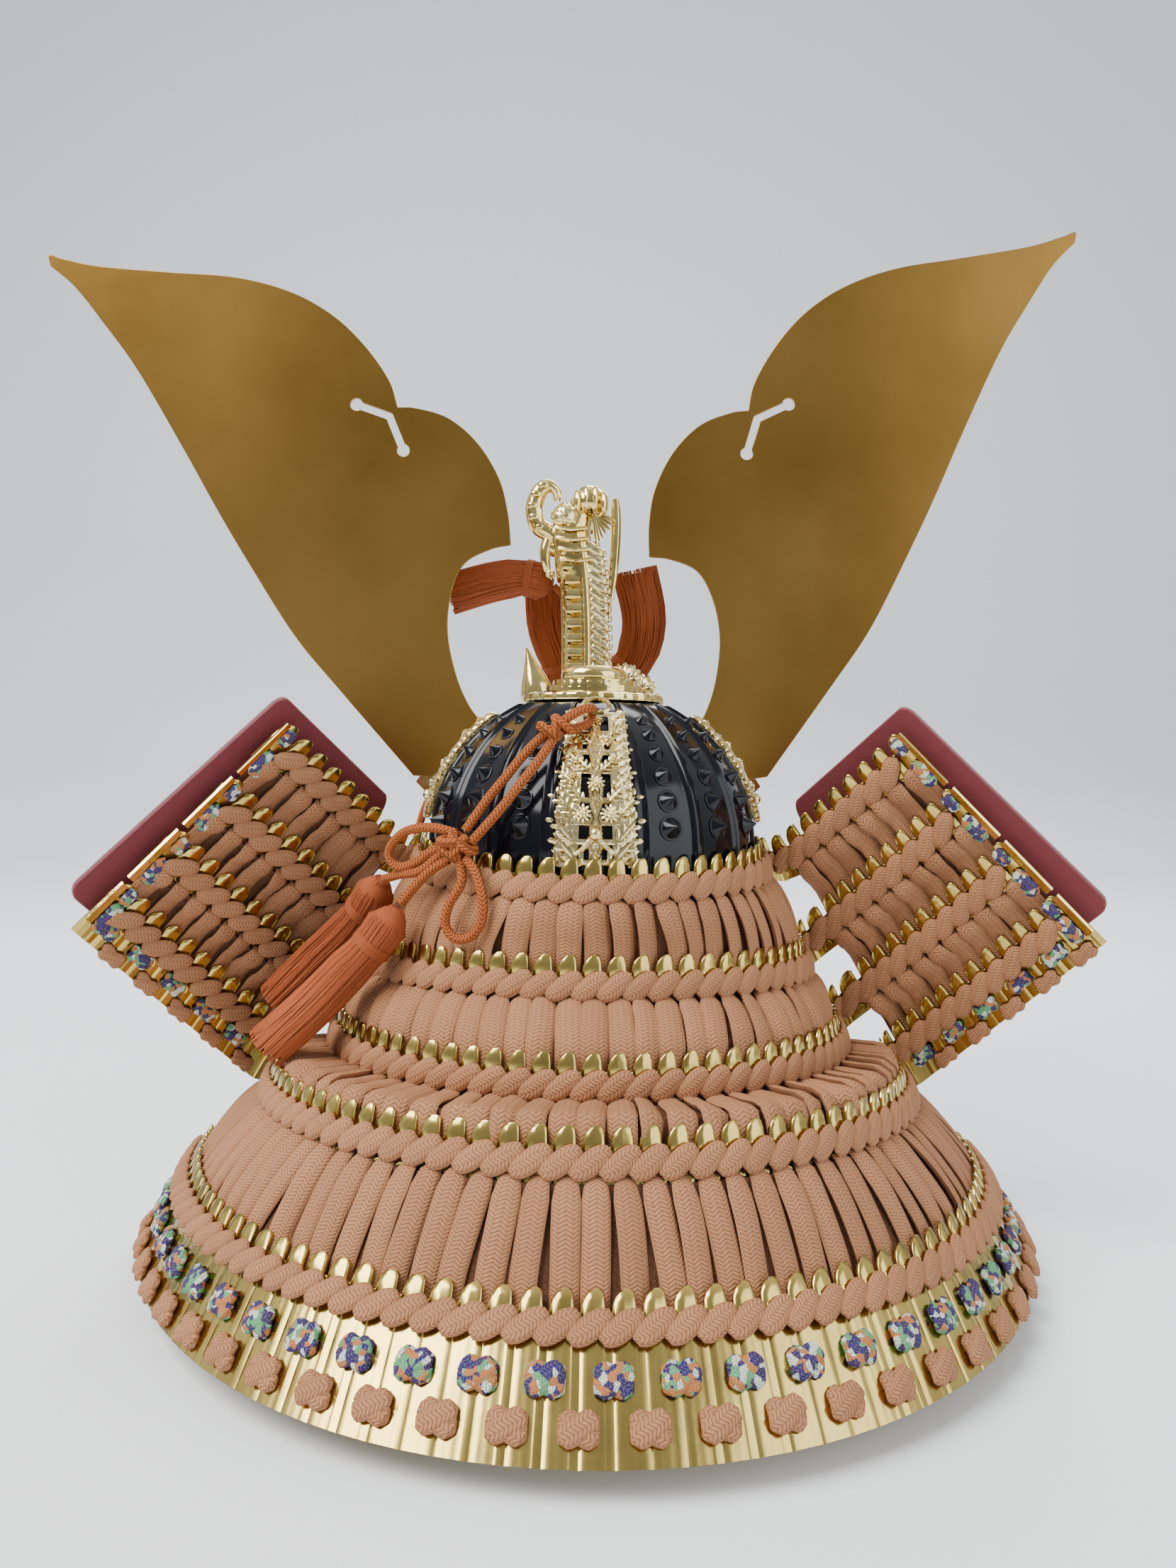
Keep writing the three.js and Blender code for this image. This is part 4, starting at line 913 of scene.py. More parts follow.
class NeckGuard:
    """The lames with their twisted rows, curtains of lacing and knots."""

    def __init__(self, finishes: Finishes) -> None:
        self.finishes = finishes
        self.plan = GuardPlan()
        self.form = ScaleForm()
        self.stitches = StitchForm()
        self.strands = StrandForm()
        self.knotted = KnotForm()
        self.chance = np.random.default_rng(11)

    def build(self) -> None:
        """Builds every row."""
        for row in range(WINGED_ROWS + 1):
            run = self.plan.full_run(row)
            self.lame(row, run)
            self.twisted_rows(row, run)
            if row < WINGED_ROWS:
                self.neck_lacing(row)
            if row + 1 < WINGED_ROWS:
                self.wing_lacing(row)
        count = ROWS[WINGED_ROWS].scales
        form = self.knotted
        self.knots(WINGED_ROWS, self.plan.full_run(WINGED_ROWS), (1, count - 1), form.neck_downs, 1.0)
        run = self.plan.full_run(WINGED_ROWS - 1)
        wing = ROWS[WINGED_ROWS - 1].wing_scales
        last = run.count - 1
        for side, span in (("left", (0, wing)), ("right", (last - wing, last))):
            self.knots(WINGED_ROWS - 1, run, span, form.wing_downs, form.wing_size, side)

    def lame(self, row: int, run: Run) -> None:
        """Builds one lame: pressed scales with the rims of their lace holes.

        Args:
            row: the row's index.
            run: its places.
        """
        form, shape = self.form, Shape()
        share = np.array(form.across)
        top = np.array(form.top)
        for i in range(run.count - 1):
            step = i + share
            depth = run.depth_at(step)
            levels = [top, top + (4.5 - top) * 0.12, top + (4.5 - top) * 0.5]
            levels += [np.full(len(share), level) for level in form.levels] + [depth]
            down = np.array(levels)
            rise = form.bulge(share[None, :], down)
            rise[0] -= 0.25
            front = run.at(step[None, :], down, rise)
            back = run.at(step[None, :], down, rise - form.wall)
            shape.slab(front, back, 0.5)
            if 0.6 < step.mean() < run.count - 1.6:
                self.arch(shape, run, i + 0.42, 5.6, 0.55)
                if row < WINGED_ROWS:
                    self.arch(shape, run, i + 0.5, LAME_DEPTH - 1.5, 0.35)
        nodes = (f"lame_{ROWS[row].name}",)
        shape.build(nodes[0] + "_scales", [self.finishes["gilt"]], nodes, Finish.GILT, 50)

    def arch(self, shape: Shape, run: Run, step: float, down: float, out: float) -> None:
        """Adds the bright rim over a lace hole.

        Args:
            shape: where it goes.
            run: the lame's places.
            step: its middle along the run.
            down: its middle down the lame.
            out: how far its wire stands out.
        """
        along, fall, facing = run.ways(step)
        centre = run.at(step, down, out)
        turns = np.linspace(math.radians(-15), math.radians(195), 8)
        line = (
            centre
            + self.form.arch * np.cos(turns)[:, None] * along
            - self.form.arch * np.sin(turns)[:, None] * fall
        )
        shape.tube(line, self.form.arch_wire, 5, 1.0, tuple(facing))

    def twisted_rows(self, row: int, run: Run) -> None:
        """Builds the slanted stitches of a row, one object for the neck and one for each wing.

        Args:
            row: the row's index.
            run: the lame's places.
        """
        name = ROWS[row].name
        wing = ROWS[row].wing_scales if row < WINGED_ROWS else 0
        last = run.count - 1
        spans = {"": (wing, last - wing)}
        if wing:
            spans |= {"_left": (1, wing), "_right": (last - wing, last - 1)}
        for side, (low, high) in spans.items():
            shape = Shape()
            for i in range(low, high):
                self.stitch(shape, run, i)
            node = f"wing_twisted_row_{name}{side}" if side else f"twisted_row_{name}"
            shape.build(node + "_stitches", [self.finishes["tan braid"]], (node,), Finish.TAN_BRAID)

    def stitch(self, shape: Shape, run: Run, i: int) -> None:
        """Adds one slanted stitch of flat braid.

        Args:
            shape: where it goes.
            run: the lame's places.
            i: the scale it crosses.
        """
        form, share = self.stitches, np.linspace(0, 1, 11)
        swell = (1 - np.abs(2 * share - 1) ** 2.8) ** 0.5
        step = i + form.start + form.span * share + self.chance.normal(0, form.wobble)
        down = form.foot - form.climb * share + form.bow * np.sin(2 * math.pi * share)
        out = form.out + form.slope * (0.5 - share) - 0.5 * share**6
        line = run.at(np.clip(step, 0, run.count - 1), down, out)
        _, _, facing = run.ways(min(max(i + 0.5, 0), run.count - 1))
        width = form.thin + form.wide * swell
        shape.tube(line, width, 12, form.flat, tuple(facing), self.chance.random())

    def strand(self, shape: Shape, upper: Run, lower: Run, step: float, clear: float, width: float) -> None:
        """Adds one braid of a curtain, from its hole down behind the next heads.

        Args:
            shape: where it goes.
            upper: the places of the lame it leaves.
            lower: the places of the lame it goes behind.
            step: where along both runs.
            clear: how far above the next heads it turns in.
            width: its width.
        """
        form = self.strands
        depth = float(upper.depth_at(step))
        lean = form.sway * math.sin(form.sway_pace * step) + self.chance.normal(0, form.wobble)
        top = upper.at(step, depth - LACE_LAP + 0.3, LOOSE_GAP + BRAID * 0.45)
        knee = lower.at(step + lean, -clear, form.tuck + BRAID / 2)
        along, _, facing = upper.ways(step)
        facing = facing + self.chance.normal(form.tilt, form.uneven) * along
        swell = form.swell + form.ripple * (-1) ** int(step) + self.chance.normal(0, form.uneven)
        belly = top * 0.55 + knee * 0.45 + facing * swell
        root = upper.at(step, depth - LACE_LAP - 0.7, 0.3)
        foot = lower.at(step + lean, form.foot, form.tuck)
        line = smooth_line(np.array([root, top, belly, knee, foot]), 11)
        round_top = np.minimum(1, 0.62 + 2.2 * np.linspace(0, 1, 11))
        shape.tube(line, width / 2 * round_top, 12, form.flat, tuple(facing), self.chance.random())

    def painted_shade_sheet(self, shape: Shape, upper: Run, lower: Run, clear: float) -> None:
        """Adds a sheet of painted shade inside a curtain, seen only between its braids.

        Args:
            shape: where it goes.
            upper: the places of the lame it leaves.
            lower: the places of the lame it goes behind.
            clear: how far above the next heads it turns in.
        """
        steps = np.linspace(0, upper.count - 1, 3 * (upper.count - 1) + 1)
        form = self.strands
        top = upper.at(steps, upper.depth_at(steps) - LACE_LAP + 0.8, LOOSE_GAP + 0.35)
        knee = lower.at(steps, -clear, form.tuck + 0.1)
        foot = lower.at(steps, form.foot, form.tuck - 0.2)
        out = upper.at(steps, 0, 1) - upper.at(steps, 0, 0)
        front = np.array([top, top * 0.55 + knee * 0.45 + out * 0.2, knee, foot])
        # Slot 1 is the dark braid colour that paints the shade between the braids.
        shape.slab(front, front - 0.3 * out, 0.0, 1)

    def neck_lacing(self, row: int) -> None:
        """Builds the curtain of braids between two rows of the neck.

        Args:
            row: the upper row's index.
        """
        half = ROWS[WINGED_ROWS].half
        count = ROWS[row].scales
        form = self.strands
        width = form.long_width if row + 1 == WINGED_ROWS else form.short_width
        upper, lower = (Run(self.plan.neck_places(r, count, half)) for r in (row, row + 1))
        shape = Shape()
        for i in range(count):
            pitch = float(np.linalg.norm(upper.point[i + 1] - upper.point[i]))
            self.strand(shape, upper, lower, i + 0.5, form.neck_clear, pitch * width)
        self.painted_shade_sheet(shape, upper, lower, form.neck_clear)
        node = f"lacing_{ROWS[row].name}"
        # The second material paints the shade seen between the braids.
        finishes = [self.finishes["tan braid"], self.finishes["shaded braid"]]
        shape.build(node + "_braids", finishes, (node,), Finish.TAN_BRAID)

    def wing_lacing(self, row: int) -> None:
        """Builds the curtains of braids between two rows of both wings.

        Args:
            row: the upper row's index.
        """
        count = ROWS[row].wing_scales
        shares = np.linspace(0.94, -0.02, count + 1)
        form = self.strands
        for side in ("left", "right"):
            runs = []
            for r in (row, row + 1):
                places = [self.plan.wing_place(r, share) for share in shares]
                if side == "right":
                    places = [place.mirrored() for place in reversed(places)]
                runs.append(Run(places))
            shape = Shape()
            for i in range(count):
                pitch = float(np.linalg.norm(runs[0].point[1] - runs[0].point[0]))
                self.strand(shape, runs[0], runs[1], i + 0.5, form.wing_clear, pitch * form.wing_width)
            self.painted_shade_sheet(shape, runs[0], runs[1], form.wing_clear)
            node = f"wing_lacing_{ROWS[row].name}_{side}"
            # The second material paints the shade seen between the braids.
            finishes = [self.finishes["tan braid"], self.finishes["shaded braid"]]
            shape.build(node + "_braids", finishes, (node,), Finish.TAN_BRAID)

    def knots(
        self, row: int, run: Run, span: tuple[int, int], downs: tuple[float, float], size: float,
        side: str = "",
    ) -> None:
        """Builds the two staggered lines of crossed knots under a row.

        Args:
            row: the row's index.
            run: its places.
            span: the scales between which they lie.
            downs: how far down the lame each line lies.
            size: their size, 1 for the largest.
            side: the wing's side, or nothing for the neck.
        """
        shape = Shape()
        for slot, down in enumerate(downs):
            for step in np.arange(span[0] + 1 + slot, span[1], 2):
                self.knot(shape, run, float(step), down, size, slot)
        name = "_".join(filter(None, [f"knots_{ROWS[row].name}", side]))
        finishes = [self.finishes["mixed braid"], self.finishes["tan braid"]]
        shape.build(name, finishes, (), Finish.MIXED_BRAID)

    def knot(self, shape: Shape, run: Run, step: float, down: float, size: float, slot: int) -> None:
        """Adds one crossed knot: two short braids over each other, swollen to a cushion.

        Args:
            shape: where it goes.
            run: the lame's places.
            step: its middle along the run.
            down: its middle down the lame.
            size: its size, 1 for the largest.
            slot: the index of its material.
        """
        form, share = self.knotted, np.linspace(-1, 1, 11)
        swell = (1 - np.abs(share) ** 4) ** 0.5
        _, _, facing = run.ways(step)
        width = form.thin + form.wide * size * swell
        for turn, height in zip((1, -1), form.heights):
            steps = np.clip(step + form.across * turn * share, 0, run.count - 1)
            line = run.at(steps, down + form.down * size * share, height + form.rise * swell)
            shape.tube(line, width, 12, form.flat, tuple(facing), self.chance.random(), slot)


# Wings


class Wings:
    """The cloth-covered boards, and the gilt edge strips with their mixed braid."""

    back = 4.6
    share = (0.1, 1.09, -0.05, 0.93)
    corner = 0.05
    soft_edge = ((0.008, 0.0), (0.0, 0.4), (0.0, 2.0), (0.008, 2.4))
    fold = ((0.962, 0.5), (0.972, 1.5), (0.998, 1.7), (1.004, 0.9), (1.002, 0.5))
    lumps = ((0.16, 0.6), (0.68, 1.0))
    strip_gap, last_strip = 0.012, 0.17
    lump_across, lump_lean, lump_half = 0.936, 0.012, 0.055

    def __init__(self, finishes: Finishes, plan: GuardPlan) -> None:
        self.finishes = finishes
        self.plan = plan
        self.chance = np.random.default_rng(5)

    def _out(self) -> Array:
        """The unit way out of the +X wing's face.

        Returns:
            The way.
        """
        across = self.plan.outer_top - self.plan.inner_top
        fall = self.plan.inner_bottom - self.plan.inner_top
        out = unit(np.cross(fall, across))
        return out if out[1] > 0 else -out

    def build(self) -> None:
        """Builds both wings."""
        for side, sign in (("left", 1.0), ("right", -1.0)):
            turn = np.array([sign, 1.0, 1.0])
            self.board(side, turn)
            self.edge(side, turn)

    def board(self, side: str, turn: Array) -> None:
        """Builds one board with rounded corners and a soft edge.

        Args:
            side: left or right.
            turn: the factors that put it on its side.
        """
        low_x, high_x, low_y, high_y = self.share
        outline = []
        corners = ((high_x, high_y), (low_x, high_y), (low_x, low_y), (high_x, low_y))
        for start, (x, y) in zip(range(0, 360, 90), corners):
            cx = x - math.copysign(self.corner, x - (low_x + high_x) / 2)
            cy = y - math.copysign(self.corner, y - (low_y + high_y) / 2)
            for k in range(9):
                a = math.radians(start + 90 * k / 8)
                outline.append((cx + self.corner * math.cos(a), cy + self.corner * math.sin(a)))
        middle = np.array([(low_x + high_x) / 2, (low_y + high_y) / 2])
        out = self._out()
        rings = []
        for inset, depth in self.soft_edge:
            ring = []
            for corner in outline:
                u, v = middle + (np.array(corner) - middle) * (1 - inset)
                ring.append(self.plan.wing_point(u, v) - out * (self.back + depth))
            rings.append(ring)
        shape = Shape()
        shape.loft((np.array(rings) + SEAT_SHIFT) * turn)
        node = f"wing_board_{side}"
        shape.build(node + "_cloth", [self.finishes["maroon cloth"]], (node,), Finish.MAROON_BOARD)

    def edge(self, side: str, turn: Array) -> None:
        """Builds the folded gilt strip of each row's outer edge with its lumps of mixed braid.

        Args:
            side: left or right.
            turn: the factors that put it on its side.
        """
        shape = Shape()
        out = self._out()
        for row in range(WINGED_ROWS):
            start, end = ROWS[row].wing_out + self.strip_gap, ROWS[row + 1].wing_out - self.strip_gap
            if row + 1 == WINGED_ROWS:
                end = start + self.last_strip
            self.strip(shape, start, end, out, turn)
            for share, size in self.lumps:
                down = start + (end - start) * share
                self.lump(shape, down, size, out, turn)
        node = f"wing_edge_braid_{side}"
        finishes = [self.finishes["mixed braid"], self.finishes["bright gilt"]]
        shape.build(node + "_lumps", finishes, (node,), Finish.MIXED_BRAID)

    def strip(self, shape: Shape, start: float, end: float, out: Array, turn: Array) -> None:
        """Adds one folded strip."""
        rings = [
            [self.plan.wing_point(u, down) + out * rise for u, rise in self.fold]
            for down in np.linspace(start, end, 4)
        ]
        shape.loft((np.array(rings) + SEAT_SHIFT) * turn, 0.5, 1)

    def lump(self, shape: Shape, down: float, size: float, out: Array, turn: Array) -> None:
        """Adds a lump of braid: two crossed stitches.

        Args:
            shape: where it goes.
            down: its share of the way down the wing.
            size: its size, 1 for the longest.
            out: the way out of the wing.
            turn: the factors that put it on its side.
        """
        share = np.linspace(-1, 1, 9)
        swell = (1 - np.abs(share) ** 3) ** 0.5
        width = 0.3 + (0.7 + size) * swell
        for lean in (self.lump_lean, -self.lump_lean):
            places = [
                self.plan.wing_point(self.lump_across + lean * s, down + self.lump_half * size * s)
                for s in share
            ]
            line = np.array(places) + np.outer(1.0 + 0.5 * swell, out) + SEAT_SHIFT
            shape.tube(line * turn, width, 10, 0.55, tuple(out * turn), self.chance.random())


# Bowl


@dataclass(frozen=True)
class BowlForm:
    """The bowl's dome in millimetres over the rim, and its plates."""

    radius: float = 47.5
    centre: float = 3.0
    stretch: float = 1.04
    spring: float = 108.0
    rim: float = 102.0
    top: float = 149.2
    wall: float = 2.0
    panel_half: float = 15.0
    plates: int = 3
    rivet_heights: tuple[float, ...] = (115.5, 122.5, 129.0, 135.0, 140.0, 144.0)
    rivet_foot: float = 2.8
    rivet_shrink: float = 0.085
    rib_apart: float = 1.25
    rib_rise: float = 0.8
    rib_width: float = 0.5
    rib_most: float = 0.9
    seam_rise: float = 0.28
    seam_width: float = 1.1
    crown_inset: float = 14.0

    def reach(self, height: Array, outset: Array | float = 0.0) -> Array:
        """The dome's radius at a height."""
        rise = np.clip((height - self.spring) / (CROWN_HEIGHT - self.spring + outset), 0, 1)
        return (self.radius + outset) * np.sqrt(1 - rise**2)

    def point(self, degrees: Array, height: Array, outset: Array | float = 0.0) -> Array:
        """A point on or off the dome, in the row frame.

        Args:
            degrees: how far round from the back.
            height: the height over the rim.
            outset: how far off the surface.

        Returns:
            The points.
        """
        turn = np.radians(degrees)
        reach = self.reach(np.asarray(height, float), outset)
        x, y, z = np.broadcast_arrays(
            reach * np.sin(turn), self.centre + self.stretch * reach * np.cos(turn), height
        )
        return np.stack([x, y, z], axis=-1) + SEAT_SHIFT

    def axes(self, degrees: float, height: float) -> Array:
        """The unit ways across, up and out of the dome at a place.

        Args:
            degrees: how far round from the back.
            height: the height over the rim.

        Returns:
            The three ways as rows.
        """
        here = self.point(degrees, height)
        across = unit(self.point(degrees + 0.5, height) - here)
        up = unit(self.point(degrees, height + 0.4) - here)
        out = unit(np.cross(up, across))
        if out.dot(here - (SEAT_SHIFT + [0, self.centre, self.spring])) < 0:
            out = -out
        return np.array([across, up, out])


@dataclass(frozen=True)
class PanelForm:
    """An openwork panel: lengths in millimetres, across and up as shares of its width and height."""

    name: str
    middle: float
    foot: float
    bowl: BowlForm = BowlForm()
    below_top: float = 2.8
    foot_half: float = 11.2
    top_half: float = 7.4
    under: float = 0.75
    face: float = 1.7
    relief: float = 2.1
    stem_sway: float = 1.6
    strip_rows: int = 43
    tips: int = 19
    leaf_climb: float = 43.0
    leaf_lean: float = 48.0
    lobe_lean: float = 42.0
    strips: tuple[Triple, ...] = ((1, 0.4, 0.96), (-1, 0.4, 0.96), (1, -0.14, 0.14))
    bars: tuple[float, ...] = (0.02, 0.15, 0.27, 0.41, 0.6, 0.72, 0.84, 0.97)
    flowers: tuple[tuple[float, float], ...] = (
        (0.0, 0.52), (-0.34, 0.33), (0.34, 0.33), (-0.3, 0.8), (0.62, 0.56), (0.66, 0.72), (0.0, 0.93),
    )
    leaves: tuple[Triple, ...] = (
        (0.56, 0.08, 5.2), (0.74, 0.22, 4.4), (0.78, 0.38, 4.0), (0.5, 0.45, 3.2), (0.7, 0.54, 3.6),
        (0.34, 0.64, 3.0), (0.72, 0.7, 3.0), (0.32, 0.8, 2.6), (0.66, 0.87, 2.8),
    )
    vine: tuple[tuple[float, float], ...] = ((0.6, -1.2), (2.6, -3.2), (4.4, -5.0), (6.0, -5.6))

    @property
    def top(self) -> float:
        """The height of its upper end over the rim."""
        return self.bowl.top - self.below_top

    @property
    def climb(self) -> float:
        """Its height from end to end."""
        return self.top - self.foot

    def up(self, share: float) -> float:
        """A height over the rim."""
        return self.foot + self.climb * share

    def half(self, height: float) -> float:
        """The half-width at a height."""
        return self.foot_half + (self.top_half - self.foot_half) * (height - self.foot) / self.climb

    def degrees(self, x: float, height: float) -> float:
        """How far round the bowl a place on the panel lies."""
        reach = max(float(self.bowl.reach(np.array(height))), 1.0)
        return self.middle + math.degrees(x / reach)

    def place(self, x: float, height: float, rise: float) -> Array:
        """A point on or off the panel."""
        return self.bowl.point(self.degrees(x, height), height, rise)

    def axes(self, x: float, height: float) -> Array:
        """The unit ways across, up and out at a place on the panel."""
        return self.bowl.axes(self.degrees(x, height), height)


class Bowl:
    """The lacquered bowl with ribs and rivets, its four openwork panels and the finial."""

    panels = (("back", 0, 106), ("left", 90, 116), ("front", 180, 112), ("right", 270, 116))
    rivet_profile = (
        (1.22, -0.9), (1.22, 0.18), (1.08, 0.34), (0.98, 0.2), (0.86, 0.5), (0.5, 1.6), (0.2, 2.8),
        (0.03, 3.4),
    )
    finial_profile = (
        (10.0, 0.0, 0), (19.2, 0.0, 1), (20.3, 0.5, 1), (20.5, 1.4, 1), (20.1, 2.4, 1), (18.6, 3.0, 0.6),
        (14.6, 3.1, 0), (14.2, 3.3, 0), (14.2, 5.0, 0), (12.0, 5.1, 0), (12.0, 6.8, 0), (9.4, 6.9, 0),
        (9.6, 7.4, 0), (9.7, 8.6, 0), (9.3, 9.8, 0), (8.2, 10.7, 0), (6.0, 11.1, 0), (0.3, 11.2, 0),
    )
    beads = ((13.5, 4.3, 30), (11.4, 6.0, 26))

    def __init__(self, finishes: Finishes) -> None:
        self.finishes = finishes
        self.form = BowlForm()
        self.chance = np.random.default_rng(3)

    def build(self) -> None:
        """Builds the bowl and what is fixed on it."""
        self.dome()
        for name, middle, foot in self.panels:
            self.panel(PanelForm(name, middle, foot))
        self.finial()

    def _ribs(self, degrees: Array) -> Array:
        """The rise of the double lines at the plates' edges.

        Args:
            degrees: how far round from the back.

        Returns:
            The rise at each place.
        """
        quarter = np.mod(degrees, 90)
        pitch = (90 - 2 * self.form.panel_half) / self.form.plates
        rise = np.zeros_like(quarter)
        for k in range(self.form.plates + 1):
            edge = self.form.panel_half + k * pitch
            for line in (-self.form.rib_apart, self.form.rib_apart):
                rise += self.form.rib_rise * np.exp(-(((quarter - edge - line) / self.form.rib_width) ** 2))
            rise += self.form.seam_rise * np.exp(-(((quarter - edge) / self.form.seam_width) ** 4))
        return np.minimum(rise, self.form.rib_most)

    def dome(self) -> None:
        """Builds the dome and its rivets."""
        form, shape = self.form, Shape()
        degrees = np.arange(0, 360, 0.75)
        rise = self._ribs(degrees)
        climb = np.sin(np.linspace(0, np.pi / 2, 20))
        heights = np.r_[form.rim, form.spring + (form.top - form.spring) * climb]
        outer = [form.point(degrees, z, rise * (z > form.rim)) for z in heights]
        outer.append(form.point(degrees, form.top, -form.crown_inset))
        inner_heights = np.r_[form.top - form.wall, heights[-2::-3], form.rim]
        inner_heights = np.minimum(inner_heights, form.top - form.wall)
        inner = [form.point(degrees, z, -form.wall) for z in inner_heights]
        inner.insert(0, form.point(degrees, form.top - form.wall, -form.crown_inset))
        shape.loft(np.array([*outer, *inner]), 0.5, 0, True)
        self._disc(shape, form.top - form.wall + 0.2, form.top - 0.2)
        pitch = (90 - 2 * form.panel_half) / form.plates
        for quarter in range(4):
            for k in range(form.plates):
                turn = 90 * quarter + form.panel_half + (k + 0.5) * pitch
                for row, height in enumerate(form.rivet_heights):
                    self.rivet(shape, turn, height, 1 - form.rivet_shrink * row)
        shape.build("bowl_lacquer", [self.finishes["black lacquer"]], ("bowl",), Finish.BLACK_LACQUER, 50)

    def _disc(self, shape: Shape, low: float, high: float) -> None:
        """Closes the crown under the finial with a plain disc.

        Args:
            shape: where it goes.
            low: the height of its lower face over the rim.
            high: the height of its upper face.
        """
        turns = np.linspace(0, 2 * np.pi, 48, endpoint=False)
        reach = float(self.form.reach(np.array(high))) - 12
        ring = np.stack([reach * np.cos(turns), self.form.centre + reach * np.sin(turns), 0 * turns], axis=1)
        shape.loft(np.array([ring + SEAT_SHIFT + [0, 0, z] for z in (low, high)]))

    def rivet(self, shape: Shape, degrees: float, height: float, size: float) -> None:
        """Adds a conical rivet on its round seat.

        Args:
            shape: where it goes.
            degrees: how far round from the back.
            height: its height over the rim.
            size: its share of the largest rivet.
        """
        axes = self.form.axes(degrees, height)
        foot = self.form.point(degrees, height)
        turns = np.linspace(0, 2 * np.pi, 20, endpoint=False)
        circle = np.cos(turns)[:, None] * axes[0] + np.sin(turns)[:, None] * axes[1]
        rings = [
            foot + circle * self.form.rivet_foot * size * reach + axes[2] * rise * size
            for reach, rise in self.rivet_profile
        ]
        shape.loft(np.array(rings))

    def panel(self, form: PanelForm) -> None:
        """Builds one openwork panel: a pierced frame with leaves and flowers.

        Args:
            form: the panel's sizes.
        """
        shape = Shape()
        heights = [form.up(share) for share in np.linspace(0, 1, 9)]
        out = tuple(form.axes(0, form.foot + 9)[2])
        for side in (1, -1):
            line = np.array([form.place(side * (form.half(h) - 1.6), h, 1.9) for h in heights])
            shape.tube(line, 0.8, 6, 0.7, out)
            sway = [side * form.stem_sway * math.sin(k * 1.3) for k in range(len(heights))]
            stem = np.array([form.place(x, h, form.relief - 0.1) for x, h in zip(sway, heights)])
            shape.tube(stem, 0.65, 6, 0.8, out)
        for side, low, high in form.strips:
            self.strip(shape, form, side * low, side * high)
        for share in form.bars:
            height = form.up(share)
            bar = [form.place(x * form.half(height), height, 1.3) for x in np.linspace(-0.6, 0.6, 9)]
            shape.tube(np.array(bar), 0.95, 8, 0.7, tuple(form.axes(0, height)[2]))
        for x, share in form.flowers:
            size = (2.9 - 0.9 * share) * (0.7 if abs(x) > 0.5 else 1)
            self.flower(shape, form, x * form.half(form.up(share)), form.up(share), size)
        shrink = max(form.climb / form.leaf_climb, 0.75)
        for x, share, size in form.leaves:
            for side in (1, -1):
                across = side * x * form.half(form.up(share))
                self.leaf(shape, form, across, form.up(share), size * shrink, side)
        base = form.up(0.2)
        shape.ball(form.place(0, base, 2.9), (1.9, 1.9, 1.9), None, 14)
        for side in (1, -1):
            vine = np.array([form.place(side * x, base + z, 2.2) for x, z in form.vine])
            shape.tube(smooth_line(vine, 7), np.linspace(1.0, 0.5, 7), 6, 0.8)
        self.leaf_tips(shape, form)
        node = f"panel_{form.name}"
        shape.build(node + "_relief", [self.finishes["cast gilt"]], (node,), Finish.BRIGHT_GILT)

    def strip(self, shape: Shape, form: PanelForm, low: float, high: float) -> None:
        """Adds an upright strip of the panel's plate.

        Args:
            shape: where it goes.
            form: the panel's sizes.
            low: its edge nearer the middle, as a share of the half-width.
            high: its other edge.
        """
        climb = np.linspace(form.foot + 0.4, form.top - 0.4, form.strip_rows)
        share = np.linspace(low, high, 6)
        front, back = (
            np.array([[form.place(s * form.half(h), h, rise) for s in share] for h in climb])
            for rise in (form.face, form.under)
        )
        shape.slab(front, back, 0.5)

    def leaf_tips(self, shape: Shape, form: PanelForm) -> None:
        """Adds the small leaf tips along both edges of a panel.

        Args:
            shape: where they go.
            form: the panel's sizes.
        """
        for height in np.linspace(form.foot + 1, form.top - 1, form.tips):
            for side in (1, -1):
                root = form.place(side * (form.half(height) - 3.2), height - 0.8, 1.9)
                tip = form.place(side * (form.half(height) - 0.1), height + 0.7, 1.8)
                shape.tube(np.linspace(root, tip, 4), np.array([0.8, 1.1, 0.9, 0.3]), 6, 0.6)

    def flower(self, shape: Shape, form: PanelForm, x: float, height: float, size: float) -> None:
        """Adds a chrysanthemum: two rings of petals and a round heart.

        Args:
            shape: where it goes.
            form: the panel's sizes.
            x: how far across the panel.
            height: its height over the rim.
            size: its radius.
        """
        axes = form.axes(x, height)
        centre = form.place(x, height, 2.5)
        for count, ring, length, rise in ((11, 0.68, 0.36, 0.0), (7, 0.34, 0.26, 0.55)):
            for k in range(count):
                turn = 2 * math.pi * (k + 0.5 * (rise > 0)) / count
                way = math.cos(turn) * axes[0] + math.sin(turn) * axes[1]
                side = np.cross(axes[2], way)
                spot = centre + way * size * ring + axes[2] * rise
                shape.ball(spot, (size * length, size * 0.17, 0.55), np.array([way, side, axes[2]]), 6)
        shape.ball(centre + axes[2] * 0.9, (size * 0.22, size * 0.22, 0.55), axes, 8)

    def leaf(self, shape: Shape, form: PanelForm, x: float, height: float, size: float, side: int) -> None:
        """Adds a notched leaf: lobes on both sides of a midrib.

        Args:
            shape: where it goes.
            form: the panel's sizes.
            x: how far across the panel.
            height: its height over the rim.
            size: its half-length.
            side: 1 or -1, the way it leans.
        """
        axes = form.axes(x, height)
        lean = math.radians(form.leaf_lean)
        way = side * math.cos(lean) * axes[0] + math.sin(lean) * axes[1]
        across = np.cross(axes[2], way)
        centre = form.place(x, height, 2.1)
        shape.ball(centre + axes[2] * 0.35, (size, size * 0.14, 0.5), np.array([way, across, axes[2]]), 6)
        for k in range(4):
            for hand in (1, -1):
                turn = math.radians(form.lobe_lean) * hand
                lobe = math.cos(turn) * way + math.sin(turn) * across
                spot = centre + way * size * (0.55 * k - 0.85) + lobe * size * 0.42
                wide = np.cross(axes[2], lobe)
                length = size * (0.5 - 0.06 * k)
                shape.ball(spot, (length, size * 0.17, 0.42), np.array([lobe, wide, axes[2]]), 6)

